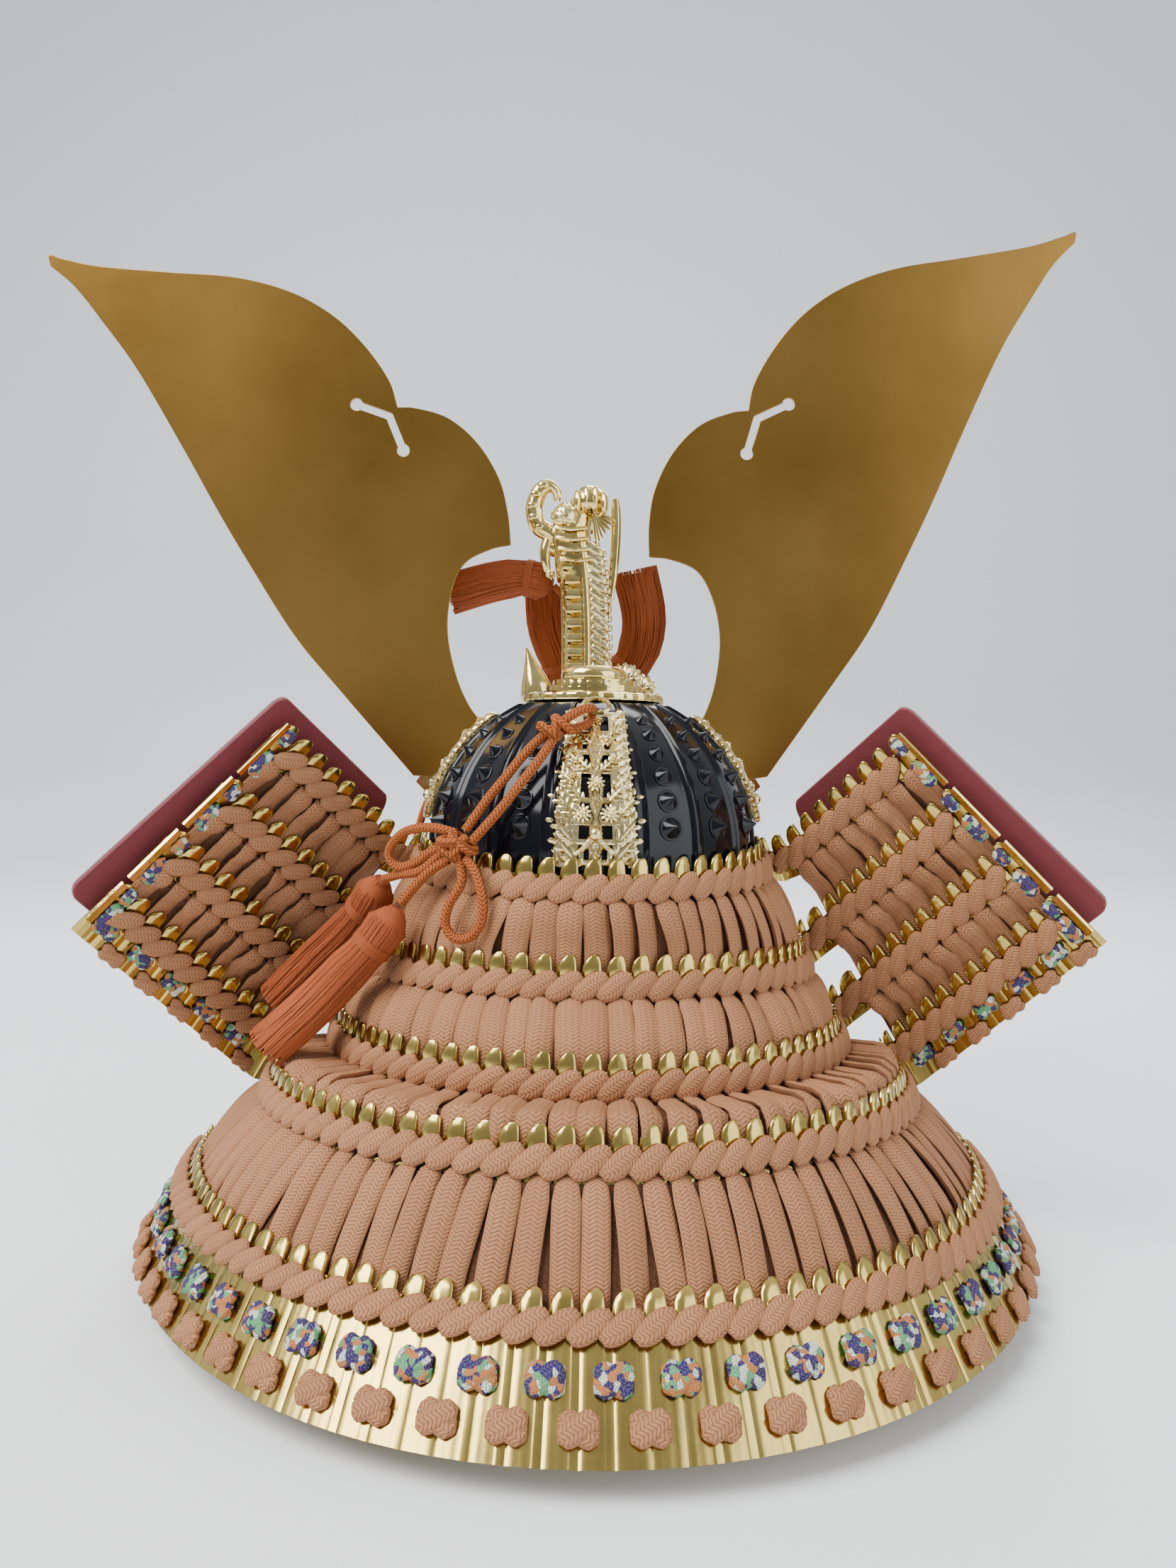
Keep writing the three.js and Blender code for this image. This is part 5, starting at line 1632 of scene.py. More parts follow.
    def finial(self) -> None:
        """Builds the crown finial: fluted flange, two rows of beads and a domed ring."""
        form, shape = self.form, Shape()
        base = form.top + 0.45
        turns = np.linspace(0, 2 * np.pi, 192, endpoint=False)
        scallop = 0.55 * (np.abs(np.cos(12 * turns)) - 0.6)
        rings = []
        for reach, height, wave in self.finial_profile:
            r = reach + scallop * wave
            up = np.full(len(turns), base + height)
            ring = np.stack([r * np.cos(turns), form.centre + r * np.sin(turns), up], 1)
            rings.append(ring + SEAT_SHIFT)
        shape.loft(np.array(rings))
        for reach, height, count in self.beads:
            for k in range(count):
                turn = 2 * math.pi * k / count
                way = np.array([math.cos(turn), math.sin(turn), 0.0])
                side = np.array([-way[1], way[0], 0.0])
                centre = way * reach + [0, form.centre, base + height] + SEAT_SHIFT
                size = (0.85, 1.2, 0.85)
                shape.ball(centre, size, np.array([way, side, [0, 0, 1]]), 8)
        shape.build("finial_gilt", [self.finishes["bright gilt"]], ("finial",), Finish.BRIGHT_GILT)


# Front: horns and crest

FLAT_FACE = 0.999


@dataclass(frozen=True)
class HornForm:
    """A horn's outline as shares of its height, outwards and upwards."""

    height: float = 214.0
    plane: float = -60.0
    foot: tuple[float, float] = (50.5, 138.4)
    thick: float = 1.2
    slot: float = 2.5
    hole: float = 2.15
    outline: tuple[tuple[float, float], ...] = (
        (0.07, -0.014), (0.085, 0.16), (0.093, 0.28), (0.084, 0.42), (0.075, 0.515), (0.061, 0.63),
        (0.047, 0.77), (0.047, 0.865), (0.05, 0.935), (0.062, 0.985), (0.054, 1), (0.042, 0.985),
        (0, 0.94), (-0.084, 0.869), (-0.168, 0.799), (-0.226, 0.729), (-0.259, 0.659),
        (-0.272, 0.589), (-0.271, 0.523), (-0.257, 0.481), (-0.28, 0.463), (-0.313, 0.42),
        (-0.328, 0.36), (-0.323, 0.294), (-0.302, 0.24), (-0.276, 0.196), (-0.243, 0.21),
        (-0.196, 0.215), (-0.15, 0.187), (-0.11, 0.14), (-0.082, 0.079), (-0.07, 0.028), (-0.07, -0.014),
    )
    corners: tuple[int, ...] = (0, 9, 11, 19, 25, 32)
    tang: tuple[tuple[float, float], ...] = (
        (-0.07, -0.014), (-0.05, -0.03), (-0.05, -0.065), (0.05, -0.065), (0.05, -0.03),
    )
    slot_line: tuple[tuple[float, float], ...] = ((-0.206, 0.523), (-0.238, 0.477), (-0.224, 0.42))


@dataclass(frozen=True)
class Limb:
    """A tapered tube of the crest: its line off the crest's plane and its half-widths at shares of it."""

    line: tuple[Triple, ...]
    widths: tuple[float, ...]
    steps: int = 2
    sides: int = 14
    flat: float = 1.0
    shares: tuple[float, ...] = (0.0, 1.0)
    facing: Triple = (0, 1, 0)


@dataclass(frozen=True)
class CrestForm:
    """The dragon crest in millimetres in the row frame, with y counted from its own plane."""

    plane: float = -72.0
    spine: tuple[Triple, ...] = ((1.0, 0, 6), (1.2, 0, 28), (2.2, 0, 48), (4.2, 0, 62))
    column_tubes: tuple[tuple[Triple, float, int, float], ...] = (
        ((0.6, -0.6, 0), 8.3, 32, 0.72), ((0.0, 5.3, 0), 1.2, 14, 1.0), ((8.2, 1.2, 0), 0.8, 10, 1.0),
    )
    chest: Limb = Limb(((4.4, 0, 50), (6.2, 1, 59), (7.4, 1, 66), (6.0, -1, 73)), (7.6, 6.6), 14, 20, 0.75)
    tail: Limb = Limb(
        ((15.3, 0, 66.3), (19.0, 0, 68.6), (20.6, 0, 74.6), (18.7, 0, 80.6), (15.6, 0, 82.6),
         (12.8, 0, 80.8), (12.4, 0, 77.4)),
        (3.135, 3.3, 2.805, 1.155), 28, 18, 0.9, (0, 0.1, 0.7, 1),
    )
    pearl: Triple = (9.4, 2.5, 71.1)
    pearl_size: Triple = (5.0, 4.6, 5.0)
    grains: int = 60
    lobes: tuple[Triple, ...] = ((5.2, 78.5, 4.6), (2.2, 79.6, 4.9), (-1.0, 79.6, 5.0), (-4.0, 78.0, 4.6))
    shells: tuple[Triple, ...] = ((-12.6, 14.6, 6.4), (-18.4, 11.6, 5.4), (-22.2, 6.2, 4.4))
    lumps: tuple[tuple[Triple, Triple, int, int], ...] = (
        ((1.1, -1.5, 77.0), (6.4, 7.5, 6.4), 20, 0),
        ((1.1, -1.0, 80.6), (3.6, 3.8, 2.4), 14, 0),
        ((14.6, 1.5, 51.6), (1.9, 1.6, 1.6), 10, 1),
    )

    @property
    def limbs(self) -> dict[str, Limb]:
        """The plain tapered parts by name."""
        return {
            "pin": Limb(((0, 0, 2.0), (0, 0, -28.0)), (1.6, 1.6), sides=12),
            "tail_root": Limb(((6, 0, 61), (11, 0, 63), (15.3, 0, 66.3)), (3.0, 3.0), 8),
            "snout": Limb(((0.5, -5, 75), (0.5, -11, 73), (0.5, -14.5, 70)), (5.0, 2.6), 9, 14, 0.8,
                          facing=(0, 0, 1)),
            "tall_fin": Limb(((-8.2, 0, 78.6), (-8.6, 0, 66), (-7.6, 0, 50), (-6.0, 0, 35.5)),
                             (1.0, 1.7, 1.6, 0.4), 14, 10, 0.5, (0, 0.1, 0.6, 1)),
            "claw": Limb(((15.0, 0, 64), (16.4, 1, 59), (15.6, 1, 53), (13.4, 0, 50.3)),
                         (2.6, 1.0), 9, 12, 0.8),
            "claw_root": Limb(((8.0, 0, 58), (15.0, 0, 61)), (2.4, 2.4), sides=12),
            "cone": Limb(((18.0, 0, 6.0), (19.0, 0, 12.0), (21.0, 0, 20.0), (22.6, 0, 25.6)),
                         (5.4, 6.0, 5.9, 5.3, 4.5, 3.6, 2.7, 1.8, 1.0, 0.3), 10, 16, 0.8,
                         tuple(np.linspace(0, 1, 10))),
            "base": Limb(((-12.0, 0, 2.0), (18.0, 0, 2.0)), (5.0, 5.0), sides=16, flat=0.8),
        }


class Front:
    """The horns and the dragon crest."""

    leans = (("left", 1, 36.6), ("right", -1, 29.5))

    def __init__(self, finishes: Finishes) -> None:
        self.finishes = finishes
        self.horns = HornForm()
        self.form = CrestForm()
        self.chance = np.random.default_rng(8)

    def build(self) -> None:
        """Builds the front."""
        for name, side, lean in self.leans:
            self.horn(name, side, lean)
        self.crest()

    def _placed(self, side: int, lean: float, points: Array) -> Array:
        """Leans an outline outwards and puts it on its foot.

        Args:
            side: 1 on the +X side, -1 on the other.
            lean: its lean from upright, in degrees.
            points: the outline as shares of the horn's height.

        Returns:
            The points across and up, in millimetres.
        """
        turn = math.radians(lean)
        x, z = (points * self.horns.height).T
        foot_x, foot_z = self.horns.foot
        return np.stack(
            [
                side * (foot_x + x * math.cos(turn) + z * math.sin(turn)),
                foot_z + SEAT_SHIFT[2] + z * math.cos(turn) - x * math.sin(turn),
            ],
            axis=1,
        )

    def _outline(self) -> Array:
        """The horn's outline, smooth between its corners.

        Returns:
            The points as shares of its height.
        """
        form = self.horns
        points = np.array(form.outline)
        pieces = [
            smooth_line(points[a : b + 1], 7 * (b - a) + 1)[:-1]
            for a, b in zip(form.corners, form.corners[1:])
        ]
        return np.vstack([*pieces, np.array(form.tang)])

    def _slot(self) -> Array:
        """The slot's outline: an angled slot with a round hole at each end.

        Returns:
            The points as shares of the horn's height.
        """
        form = self.horns
        top, elbow, low = (np.array(p) * form.height for p in form.slot_line)
        arms = [unit(top - elbow), unit(low - elbow)]
        bisector = unit(arms[0] + arms[1])
        square = np.array([-arms[0][1], arms[0][0]])
        corner = form.slot / 2 / abs(square.dot(bisector))
        loop = []
        for centre, arm, bend in ((top, arms[0], -corner), (low, arms[1], corner)):
            start = math.atan2(-arm[1], -arm[0])
            gap = math.asin(form.slot / 2 / form.hole)
            for k in range(17):
                turn = start + gap + (2 * math.pi - 2 * gap) * k / 16
                loop.append(centre + form.hole * np.array([math.cos(turn), math.sin(turn)]))
            loop.append(elbow + bisector * bend)
        return np.array(loop) / form.height

    def horn(self, name: str, side: int, lean: float) -> None:
        """Builds one flat horn with softened edges.

        Args:
            name: left or right.
            side: 1 on the +X side, -1 on the other.
            lean: its lean from upright, in degrees.
        """
        curve = bpy.data.curves.new(f"horn_{name}", "CURVE")
        curve.dimensions = "2D"
        curve.fill_mode = "BOTH"
        bevel = 0.18
        curve.extrude = (self.horns.thick / 2 - bevel) * MM
        curve.bevel_depth = bevel * MM
        curve.bevel_resolution = 2
        curve.offset = -bevel * MM
        for loop in (self._outline(), self._slot()):
            points = self._placed(side, lean, loop)
            spline = curve.splines.new("POLY")
            spline.points.add(len(points) - 1)
            for spot, (x, z) in zip(spline.points, points):
                spot.co = (x * MM, z * MM, 0, 1)
            spline.use_cyclic_u = True
        flat = bpy.data.objects.new(f"horn_{name}_curve", curve)
        bpy.context.scene.collection.objects.link(flat)
        bpy.context.view_layer.update()
        mesh = bpy.data.meshes.new_from_object(flat.evaluated_get(bpy.context.evaluated_depsgraph_get()))
        bpy.data.objects.remove(flat)
        work = bmesh.new()
        work.from_mesh(mesh)
        bmesh.ops.remove_doubles(work, verts=work.verts, dist=1e-6)
        bmesh.ops.recalc_face_normals(work, faces=work.faces)
        work.to_mesh(mesh)
        work.free()
        mesh.transform(Matrix.Rotation(math.pi / 2, 4, "X"))
        mesh.transform(Matrix.Translation((0, (self.horns.plane + SEAT_SHIFT[1]) * MM, 0)))
        mesh.materials.clear()
        mesh.materials.append(self.finishes["satin brass"])
        mesh.shade_smooth()
        for polygon in mesh.polygons:
            polygon.use_smooth = abs(polygon.normal.y) < FLAT_FACE
        piece = bpy.data.objects.new(f"horn_{name}_plate", mesh)
        bpy.context.scene.collection.objects.link(piece)
        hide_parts(f"horn_{name}")
        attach(piece, "root")
        log.info("%s: %d faces", piece.name, len(mesh.polygons))

    def crest(self) -> None:
        """Builds the dragon crest."""
        shape = Shape()
        self.column(shape)
        self.folds(shape)
        self.ball_and_mane(shape)
        self.fan_fin(shape)
        self.shells(shape)
        for limb in self.form.limbs.values():
            self.limb(shape, limb)
        for middle, size, sides, slot in self.form.lumps:
            shape.ball(self.off(middle), size, None, sides, 0.5 if slot else 0.0, slot)
        finishes = [self.finishes["bright gilt"], self.finishes["cast gilt"]]
        shape.build("dragon_crest_gilt", finishes, ("dragon_crest",), Finish.BRIGHT_GILT)

    def off(self, points: Array | Triple) -> Array:
        """Moves points from the crest's own plane into the row frame."""
        return np.asarray(points, float) + [0, self.form.plane, 0]

    def limb(self, shape: Shape, limb: Limb) -> Array:
        """Adds a tapered tube of the crest.

        Args:
            shape: where it goes.
            limb: its sizes.

        Returns:
            Its middle line.
        """
        line = self.off(limb.line)
        if limb.steps > len(line):
            line = smooth_line(line, limb.steps)
        widths = np.interp(np.linspace(0, 1, len(line)), limb.shares, limb.widths)
        shape.tube(line, widths, limb.sides, limb.flat, limb.facing)
        return line

    def column(self, shape: Shape) -> None:
        """Adds the neck: belly bands, a ridge, and a side of slanted scales.

        Args:
            shape: where it goes.
        """
        spine = smooth_line(self.off(self.form.spine), 121)
        narrow = np.linspace(1, 0.94, 121)
        for shift, width, sides, flat in self.form.column_tubes:
            shape.tube(spine + shift, width * narrow, sides, flat)
        pad = np.linspace(-1, 1, 9)
        width = 2.3 * (1 - np.abs(pad) ** 6) ** 0.4
        for k in range(11):
            belly = spine[11 * k + 4] + [4.4, 4.7, 0] + pad[:, None] * [3.3, 0, 0]
            shape.tube(belly, 0.15 + width, 14, 0.5)
        for k in range(17):
            middle = spine[7 * k + 4]
            scale = middle + [-4.3, 4.4, 0] + pad[:, None] * [3.5, 0, 2.3]
            shape.tube(scale, 0.1 + 0.7 * width, 10, 0.6, (0, 1, 0), 0.5, 1)
            shape.ball(middle + [-8.0, 1.6, -1.2], (1.1, 1.6, 1.5), None, 8, 0.5, 1)

    def folds(self, shape: Shape) -> None:
        """Adds the chest with its folds, and the hooked tail with its bands.

        Args:
            shape: where they go.
        """
        chest = self.limb(shape, self.form.chest)
        for k in range(4):
            fold = chest[3 + 2 * k] + np.array([[-5.5, 4.6, 1], [0, 6.2, 0], [5.5, 4.6, 1.0]])
            shape.tube(fold, 0.8, 8)
        tail = self.limb(shape, self.form.tail)
        for k in range(3, 22, 4):
            shape.ball(tail[k] + [0.4, 1.9, 0.2], (2.3, 1.3, 1.6), None, 10)

    def ball_and_mane(self, shape: Shape) -> None:
        """Adds the granular ball, the lobes of the head and the tufts of its mane.

        Args:
            shape: where they go.
        """
        middle, size = self.off(self.form.pearl), self.form.pearl_size
        shape.ball(middle, size, None, 16, 0.5, 1)
        for _ in range(self.form.grains):
            way = unit(self.chance.normal(size=3))
            shape.ball(middle + way * (np.array(size) - 0.1), (0.6, 0.6, 0.6), None, 5, 0.5, 1)
        for x, z, rise in self.form.lobes:
            shape.ball(self.off((x, 3.4, z - 2.0)), (1.6, 2.6, rise), None, 12)
        for k in range(9):
            x = 9.6 - 1.35 * k
            root, tip = self.off((x, 4.0, 73.4 + 0.35 * k)), self.off((x + 0.8, 4.6, 77.2 + 0.3 * k))
            shape.tube(np.linspace(root, tip, 3), np.array([0.7, 0.5, 0.12]), 6, 1.0, (1, 0, 0), 0.5, 1)

    def fan_fin(self, shape: Shape) -> None:
        """Adds the ribs of the fan-shaped fin under the head.

        Args:
            shape: where they go.
        """
        root = self.off((-0.3, 3.4, 72.9))
        for share in np.linspace(0, 1, 7):
            tip = self.off((-1.8 - 6.4 * share, 4.6, 61.0 + 9.0 * share))
            shape.tube(np.linspace(root, tip, 4), np.array([0.5, 0.8, 0.9, 0.3]), 7, 0.8)

    def shells(self, shape: Shape) -> None:
        """Adds the ribbed shell curls at the foot of the neck.

        Args:
            shape: where they go.
        """
        for x, z, size in self.form.shells:
            for k in range(7):
                turn = math.radians(8 + 27 * k)
                way = np.array([-math.cos(turn), 0.0, math.sin(turn)])
                axes = np.array([way, np.cross(way, [0, 1, 0]), [0, 1, 0]])
                spot = self.off((x, 1.6, z)) + way * size * 0.42
                shape.ball(spot, (size * 0.6, size * 0.3, size * 0.5), axes, 10, 0.5, 1)
            shape.ball(self.off((x, 0, z - 0.5)), (size * 0.9, size * 0.55, size * 0.9), None, 14, 0.5, 1)


# Cords and tassels


@dataclass(frozen=True)
class TasselForm:
    """A tassel: its node, its width and the line from its head to the end of its skirt."""

    name: str
    width: float
    line: tuple[Triple, ...]


class Trim:
    """The cord bow, the chin cord with its knot, and all tassels. Points are in the row frame."""

    diameter = 2.5
    strands = {
        "loop": ((9.5, 44.6, -4.9), (6.2, 43.2, -2.4), (3.2, 41.8, -0.8), (1.1, 39.2, -0.6),
                 (1.0, 36.9, -1.3), (1.4, 36.6, -3.6), (3.0, 38.2, -5.0), (6.0, 40.6, -6.0),
                 (8.6, 42.4, -6.6)),
        "left": ((11, 43.6, -6), (14.5, 42.8, -8.6), (18.9, 43.9, -13.2), (23.4, 45, -19), (28, 45, -24.8),
                 (33.6, 45.8, -33)),
        "right": ((9.5, 44.4, -6.5), (11.4, 44.2, -9.4), (15.2, 46.4, -15), (19.6, 47.8, -20.8),
                  (24.8, 47.8, -27.6), (32, 47.2, -36)),
        "loop_left": ((36, 46, -33.6), (42.5, 43, -32.4), (49.5, 39, -33.6), (54, 35.6, -37.6),
                      (54.6, 35, -41.2), (51.6, 36.4, -43.4), (46.6, 40, -41.6), (42.2, 43.4, -38.4),
                      (37.6, 46, -36.8)),
        "loop_down": ((34.6, 48.4, -40.6), (34, 50.6, -46), (37, 50.4, -51.4), (38, 50, -56.6),
                      (35.6, 50.8, -60), (31.6, 52.4, -59.6), (28.6, 54, -55.6), (28.4, 53.8, -49.4),
                      (30.4, 51.6, -43.2), (33, 49, -40)),
        "end_front": ((38, 45.6, -40.6), (42.4, 43.8, -43.4), (46.6, 41.8, -47.6), (50.6, 39.8, -52.6)),
        "end_back": ((39.6, 44.6, -38.8), (45.4, 41.6, -43.8), (51.4, 35.6, -45.4), (56.6, 29.8, -47.2)),
    }
    bow_knots = (
        ((10.6, 43.6, -6.0), (1, 0.1, -0.5), 2.3, 3, 0.75),
        ((35.6, 47.0, -37.2), (1, -0.3, -0.7), 3.3, 3, 0.8),
        ((36.2, 47.4, -36.4), (0.5, 0.2, 1), 2.9, 2, 0.9),
    )
    chin_knot = ((0.0, -94.2, 7.0), (1, 0, 0), 2.3, 4, 0.7)
    skirt_shares = (0, 0.03, 0.08, 0.16, 0.22, 0.26, 0.36, 0.6, 1)
    skirt_widths = (0.3, 0.66, 0.88, 0.94, 0.78, 0.76, 0.9, 0.93, 0.96)
    skirt_strands, strand_half = 270, 0.3
    tassels = (
        TasselForm("bow_tassel_front", 12.5, ((51.4, 40.4, -54.2), (57.5, 39.8, -63), (65, 38.8, -71),
                                              (74, 38, -80.5), (86, 39, -91.6))),
        TasselForm("bow_tassel_back", 12.0, ((57.4, 29, -47.6), (62, 24.4, -55), (68, 20, -62.4),
                                             (77.4, 16, -71.6), (89, 14.6, -83.6))),
        TasselForm("chin_tassel_left", 15.0,
                   ((14, -79, 49), (24, -80, 51.4), (36, -80, 49.6), (51, -80, 45))),
        TasselForm("chin_tassel_middle", 15.0, ((9, -101, 12), (12, -100, 24), (16, -98, 36), (17, -97, 50))),
        TasselForm("chin_tassel_right", 17.0,
                   ((-8, -95, 12), (-17, -93, 24), (-20, -89, 38), (-16, -86, 56))),
    )
    chin = (
        (42.5, -4, -42.6), (42.8, -10, -47.6), (48, -15, -49.6), (53.2, -17.4, -46), (54, -21, -38),
        (51.6, -30, -27), (46, -40, -15), (37, -53, -4), (31, -61, 0), (30, -70, 0), (25, -81, 3),
        (12, -89, 6), (0, -90, 6), (-11, -88, 3), (-22, -80, -3), (-30, -72, -12), (-36, -69, -25),
        (-40, -68, -38), (-43, -64, -50), (-44, -52, -56), (-43.6, -36, -55), (-43, -22, -51),
        (-42.8, -10, -47), (-42.5, -4, -42.6),
    )
    knot_cords = (
        ((1, -93, 8), (2, -86, 18), (5, -83, 32), (9, -80.5, 44), (13.3, -79.1, 48.7)),
        ((2, -95.4, 7), (5.4, -99, 6.6), (8, -101, 8.4), (8.9, -101.1, 11.7)),
        ((-2, -94.6, 7), (-5.6, -95.4, 8.4), (-7.8, -95.1, 11.7)),
    )

    def __init__(self, finishes: Finishes) -> None:
        self.finishes = finishes
        self.chance = np.random.default_rng(21)

    def build(self) -> None:
        self.bow()
        made = {form.name: self.tassel(form) for form in self.tassels}
        self.chin_cord([made[name] for name in made if name.startswith("chin")])

    def _cord(self, shape: Shape, points: Array) -> Array:
        """Adds a cord through some points.

        Args:
            shape: where it goes.
            points: the points it runs through.

        Returns:
            Its middle line.
        """
        line = np.array(points, float)
        length = float(np.linalg.norm(np.diff(line, axis=0), axis=1).sum())
        fine = smooth_line(line, max(int(length / 1.2), 8))
        shape.tube(fine, self.diameter / 2, 12)
        return fine

    def _wrap(
        self, shape: Shape, centre: Triple, along: Triple, reach: float, turns: int, flat: float
    ) -> None:
        """Adds turns of cord round an axis, as a knot shows them.

        Args:
            shape: where they go.
            centre: the knot's middle.
            along: the way of the axis.
            reach: the turns' radius.
            turns: how many there are.
            flat: their depth as a share of their width.
        """
        along = unit(np.array(along, float))
        side = unit(np.cross(along, [0, 1, 0]))
        out = np.cross(side, along)
        for k in range(turns):
            shift = (k - (turns - 1) / 2) * self.diameter * 0.86
            lean = 0.5 * self.diameter * (-1) ** k
            angle = np.linspace(0, 2 * np.pi, 25)[:-1]
            ring = (
                np.array(centre)
                + along * (shift + lean * np.cos(angle))[:, None]
                + side * (reach * np.cos(angle))[:, None]
                + out * (reach * flat * np.sin(angle))[:, None]
            )
            rings = []
            for p, q in zip(ring, np.roll(ring, -1, axis=0)):
                way = unit(q - p)
                facing = unit(p - centre - way * way.dot(p - centre))
                other = np.cross(way, facing)
                spin = np.linspace(0, 2 * np.pi, 10, endpoint=False)[:, None]
                rings.append(p + self.diameter / 2 * (np.cos(spin) * facing + np.sin(spin) * other))
            shape.loft(np.array(rings), 0.5, 0, True)

    def bow(self) -> None:
        """Builds the bow of doubled cord with its two knots."""
        shape = Shape()
        for points in self.strands.values():
            self._cord(shape, points)
        for knot in self.bow_knots:
            self._wrap(shape, *knot)
        shape.build("cord_bow_braid", [self.finishes["rust cord"]], ("cord_bow",), Finish.RUST_CORD, 60)

    def tassel(self, form: TasselForm) -> bpy.types.Object:
        """Builds a tassel: head and skirt of strands, and a bound collar.

        Args:
            form: the tassel's sizes.

        Returns:
            The tassel.
        """
        shape = Shape()
        half = form.width / 2
        line = smooth_line(np.array(form.line), 41)
        along = unit(np.gradient(line, axis=0))
        share = np.linspace(0, 1, 41)
        profile = np.interp(share, self.skirt_shares, self.skirt_widths)
        shape.tube(line[:40], half * profile[:40] * 0.9, 24, 1.0, (0, 0, 1), 0.4)
        side = np.array([0.0, 0.0, 1.0])
        frames = []
        for way in along:
            side = unit(side - way * side.dot(way))
            frames.append((side, np.cross(way, side)))
        first, second = (np.array([f[k] for f in frames]) for k in (0, 1))
        pick = np.arange(0, 41, 4)
        for _ in range(self.skirt_strands):
            turn = self.chance.uniform(0, 2 * np.pi)
            depth = self.chance.uniform(0.9, 1.0)
            drift = self.chance.normal(0, 0.12) * share
            wave = 0.06 * np.sin(2.2 * np.pi * share + self.chance.uniform(0, 6)) * share
            reach = half * profile * depth
            strand = line + (
                (reach * np.cos(turn + drift + wave))[:, None] * first
                + (reach * np.sin(turn + drift + wave))[:, None] * second
            )
            end = self.chance.integers(38, 41)
            chosen = np.r_[pick[:-1], end]
            shape.tube(strand[chosen], self.strand_half, 4, 1.0, (0, 0, 1), self.chance.random())
        self._collar(shape, half * 0.84, line[9], np.array([first[9], second[9], along[9]]))
        return shape.build(
            form.name + "_strands", [self.finishes["rust strands"]], (form.name,), Finish.RUST_CORD, 60
        )

    def _collar(self, shape: Shape, reach: float, middle: Array, axes: Array) -> None:
        """Adds the three turns of thread round a tassel's neck.

        Args:
            shape: where they go.
            reach: their radius.
            middle: the middle of the second turn.
            axes: two ways across the tassel and the way along it, as rows.
        """
        for shift in (-0.9, 0.0, 0.9):
            centre = middle + axes[2] * shift
            rings = []
            for turn in np.linspace(0, 2 * np.pi, 25)[:-1]:
                way = math.cos(turn) * axes[0] + math.sin(turn) * axes[1]
                spin = np.linspace(0, 2 * np.pi, 7)[:-1][:, None]
                rings.append(centre + way * reach + 0.55 * (np.cos(spin) * way + np.sin(spin) * axes[2]))
            shape.loft(np.array(rings), 0.5, 0, True)

    def chin_cord(self, tassels: list[bpy.types.Object]) -> None:
        """Args:
            tassels: the tassels on it; not used.
        """
        knot = Shape()
        for points in self.knot_cords:
            self._cord(knot, points)
        self._wrap(knot, *self.chin_knot)
        cord = [self.finishes["rust cord"]]
        knot_piece = knot.build("chin_knot_braid", cord, ("chin_knot",), Finish.RUST_CORD, 60)
        shape = Shape()
        line = self._cord(shape, self.chin)
        piece = shape.build("chin_cord_braid", cord, ("chin_cord",), Finish.RUST_CORD, 60)


# Studio


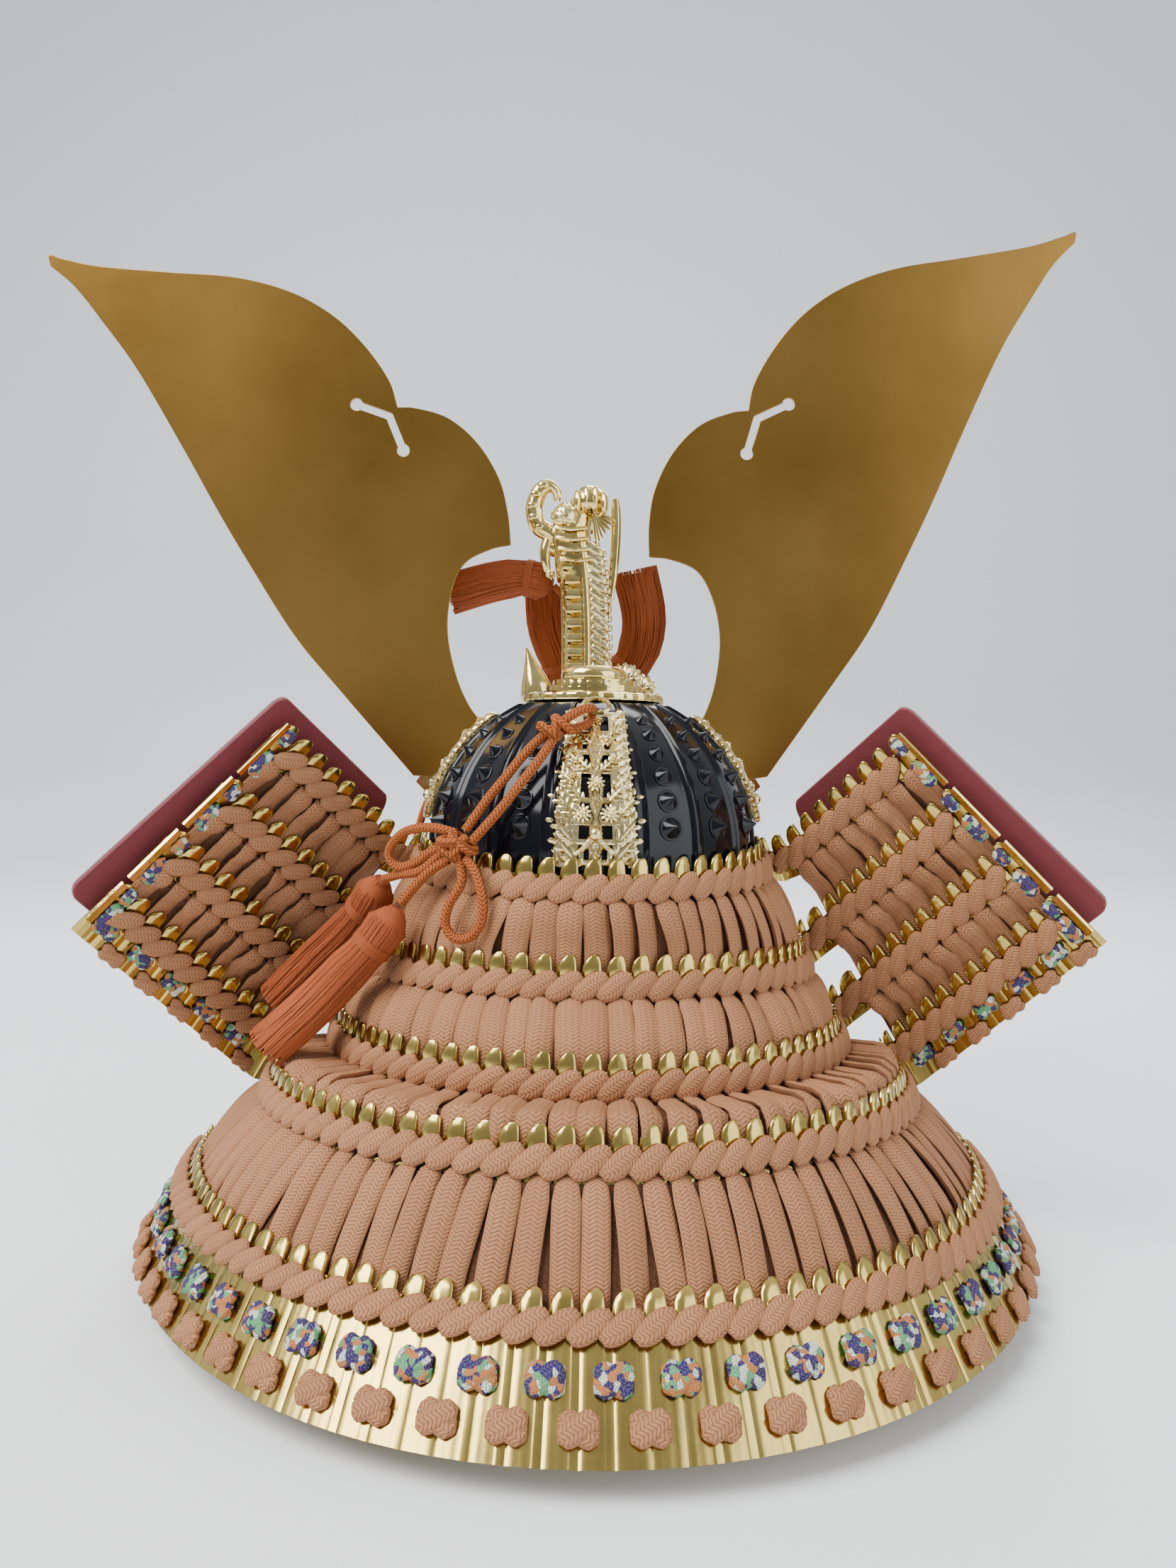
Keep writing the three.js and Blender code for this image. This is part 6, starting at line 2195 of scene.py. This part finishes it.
class Studio:
    """The camera, the lamps, the backdrop and the floor."""

    focal_pixels = 1731.5
    picture = (1659, 2212)
    position = (7.3, 363.2, -15.4)
    yaw, pitch, roll = 0.0166, 0.0158, math.radians(0.84)
    floor = -152.0
    sky = ((0.0, (0.12, 0.11, 0.1)), (0.46, (0.3, 0.3, 0.31)), (0.6, (0.75, 0.77, 0.8)), (1.0, (1, 1, 1)))
    room = ((0.4, (1, 1, 1)), (0.8, (0.42, 0.43, 0.45)))
    lamps = (
        ("window", (0.9, 0.5, 1.1), 1.1, 46, (1.0, 0.99, 0.97)),
        ("fill", (-1.2, 0.9, 0.5), 1.3, 15, (0.94, 0.97, 1.0)),
        ("rim", (-0.3, -1.0, 0.9), 0.8, 14, (1, 1, 1)),
    )
    sweep = ((3.0, 0.0), (-0.9, 0.0), (-1.3, 0.03), (-1.6, 0.15), (-1.8, 0.45), (-1.85, 0.9), (-1.85, 4.0))

    def camera(self) -> None:
        """Places the camera where the photograph was taken from."""
        forward = Vector((-self.yaw, -1.0, -self.pitch)).normalized()
        right = Vector((-math.cos(self.roll), 0.0, math.sin(self.roll)))
        right = (right - forward * right.dot(forward)).normalized()
        up = right.cross(forward)
        data = bpy.data.cameras.new("camera")
        data.sensor_width = 36.0
        data.lens = 36.0 * self.focal_pixels / max(self.picture)
        data.clip_start, data.clip_end = 0.01, 20.0
        camera = bpy.data.objects.new("camera", data)
        turned = Matrix((right, up, -forward)).transposed().to_4x4()
        camera.matrix_world = Matrix.Translation(Vector(self.position) * MM) @ turned
        bpy.context.scene.collection.objects.link(camera)
        bpy.context.scene.camera = camera

    def lamp(self, name: str, place: Triple, size: float, power: float, tint: Triple) -> None:
        """Adds a soft square lamp that faces the helmet.

        Args:
            name: its name.
            place: where it stands, in metres.
            size: its width in metres.
            power: its power in watts.
            tint: its colour.
        """
        data = bpy.data.lights.new(name, "AREA")
        data.size = size
        data.energy = power
        data.color = tint
        lamp = bpy.data.objects.new(name, data)
        lamp.location = place
        lamp.rotation_euler = (Vector((0, 0, 0)) - Vector(place)).to_track_quat("-Z", "Y").to_euler()
        bpy.context.scene.collection.objects.link(lamp)

    def build(self) -> None:
        """Builds the studio round the helmet."""
        for lamp in self.lamps:
            self.lamp(*lamp)
        world = bpy.data.worlds.new("studio")
        world.use_nodes = True
        graph = NodeGraph(world.node_tree)
        place = graph.node("ShaderNodeTexCoord")
        split = graph.node("ShaderNodeSeparateXYZ")
        graph.join(place.outputs["Generated"], split.inputs[0])
        high = graph.maths("ADD", graph.maths("MULTIPLY", split.outputs[2], 0.5), 0.5)
        tone = graph.ramp(high, list(self.sky))
        near = graph.maths("ADD", graph.maths("MULTIPLY", split.outputs[1], 0.5), 0.5)
        shade = graph.ramp(near, list(self.room))
        room = graph.node("ShaderNodeMix", data_type="RGBA", blend_type="MULTIPLY")
        room.inputs["Factor"].default_value = 1.0
        graph.join(tone, room.inputs["A"])
        graph.join(shade, room.inputs["B"])
        light = graph.node("ShaderNodeBackground", Strength=1.2)
        graph.join(room.outputs["Result"], light.inputs[0])
        graph.join(light.outputs[0], graph.node("ShaderNodeOutputWorld").inputs[0])
        bpy.context.scene.world = world
        self.floor_and_wall()

    def floor_and_wall(self) -> None:
        """Adds the pale floor, which rises into a wall behind the helmet."""
        line = smooth_line(np.array(self.sweep), 40)
        points = [(x, y, z + self.floor * MM) for y, z in line for x in (-5.0, 5.0)]
        faces = [(2 * k, 2 * k + 1, 2 * k + 3, 2 * k + 2) for k in range(len(line) - 1)]
        mesh = bpy.data.meshes.new("backdrop")
        mesh.from_pydata(points, [], faces)
        mesh.shade_smooth()
        finish = PlainFinish("backdrop paper", (0.84, 0.86, 0.885), 0.6)
        mesh.materials.append(finish.material())
        backdrop = bpy.data.objects.new("backdrop", mesh)
        bpy.context.scene.collection.objects.link(backdrop)


def finish_cad_nodes(finishes: Finishes) -> None:
    """Gives the CAD nodes that are still shown their materials.

    Args:
        finishes: all materials.
    """
    shown = {
        "visor": "black lacquer",
        "visor_edge": "bright gilt",
        "horn_base": "bright gilt",
        "cord_ring": "bright gilt",
    }
    for name, finish in shown.items():
        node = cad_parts[name]
        node.data.materials.clear()
        node.data.materials.append(finishes[finish])


def main() -> None:
    """Builds the scene in order."""
    studio = Studio()
    studio.camera()
    finishes = Finishes()
    Trim(finishes).build()
    guard = NeckGuard(finishes)
    guard.build()
    Wings(finishes, guard.plan).build()
    Bowl(finishes).build()
    Front(finishes).build()
    finish_cad_nodes(finishes)
    studio.build()


if __name__ == "__main__":
    main()
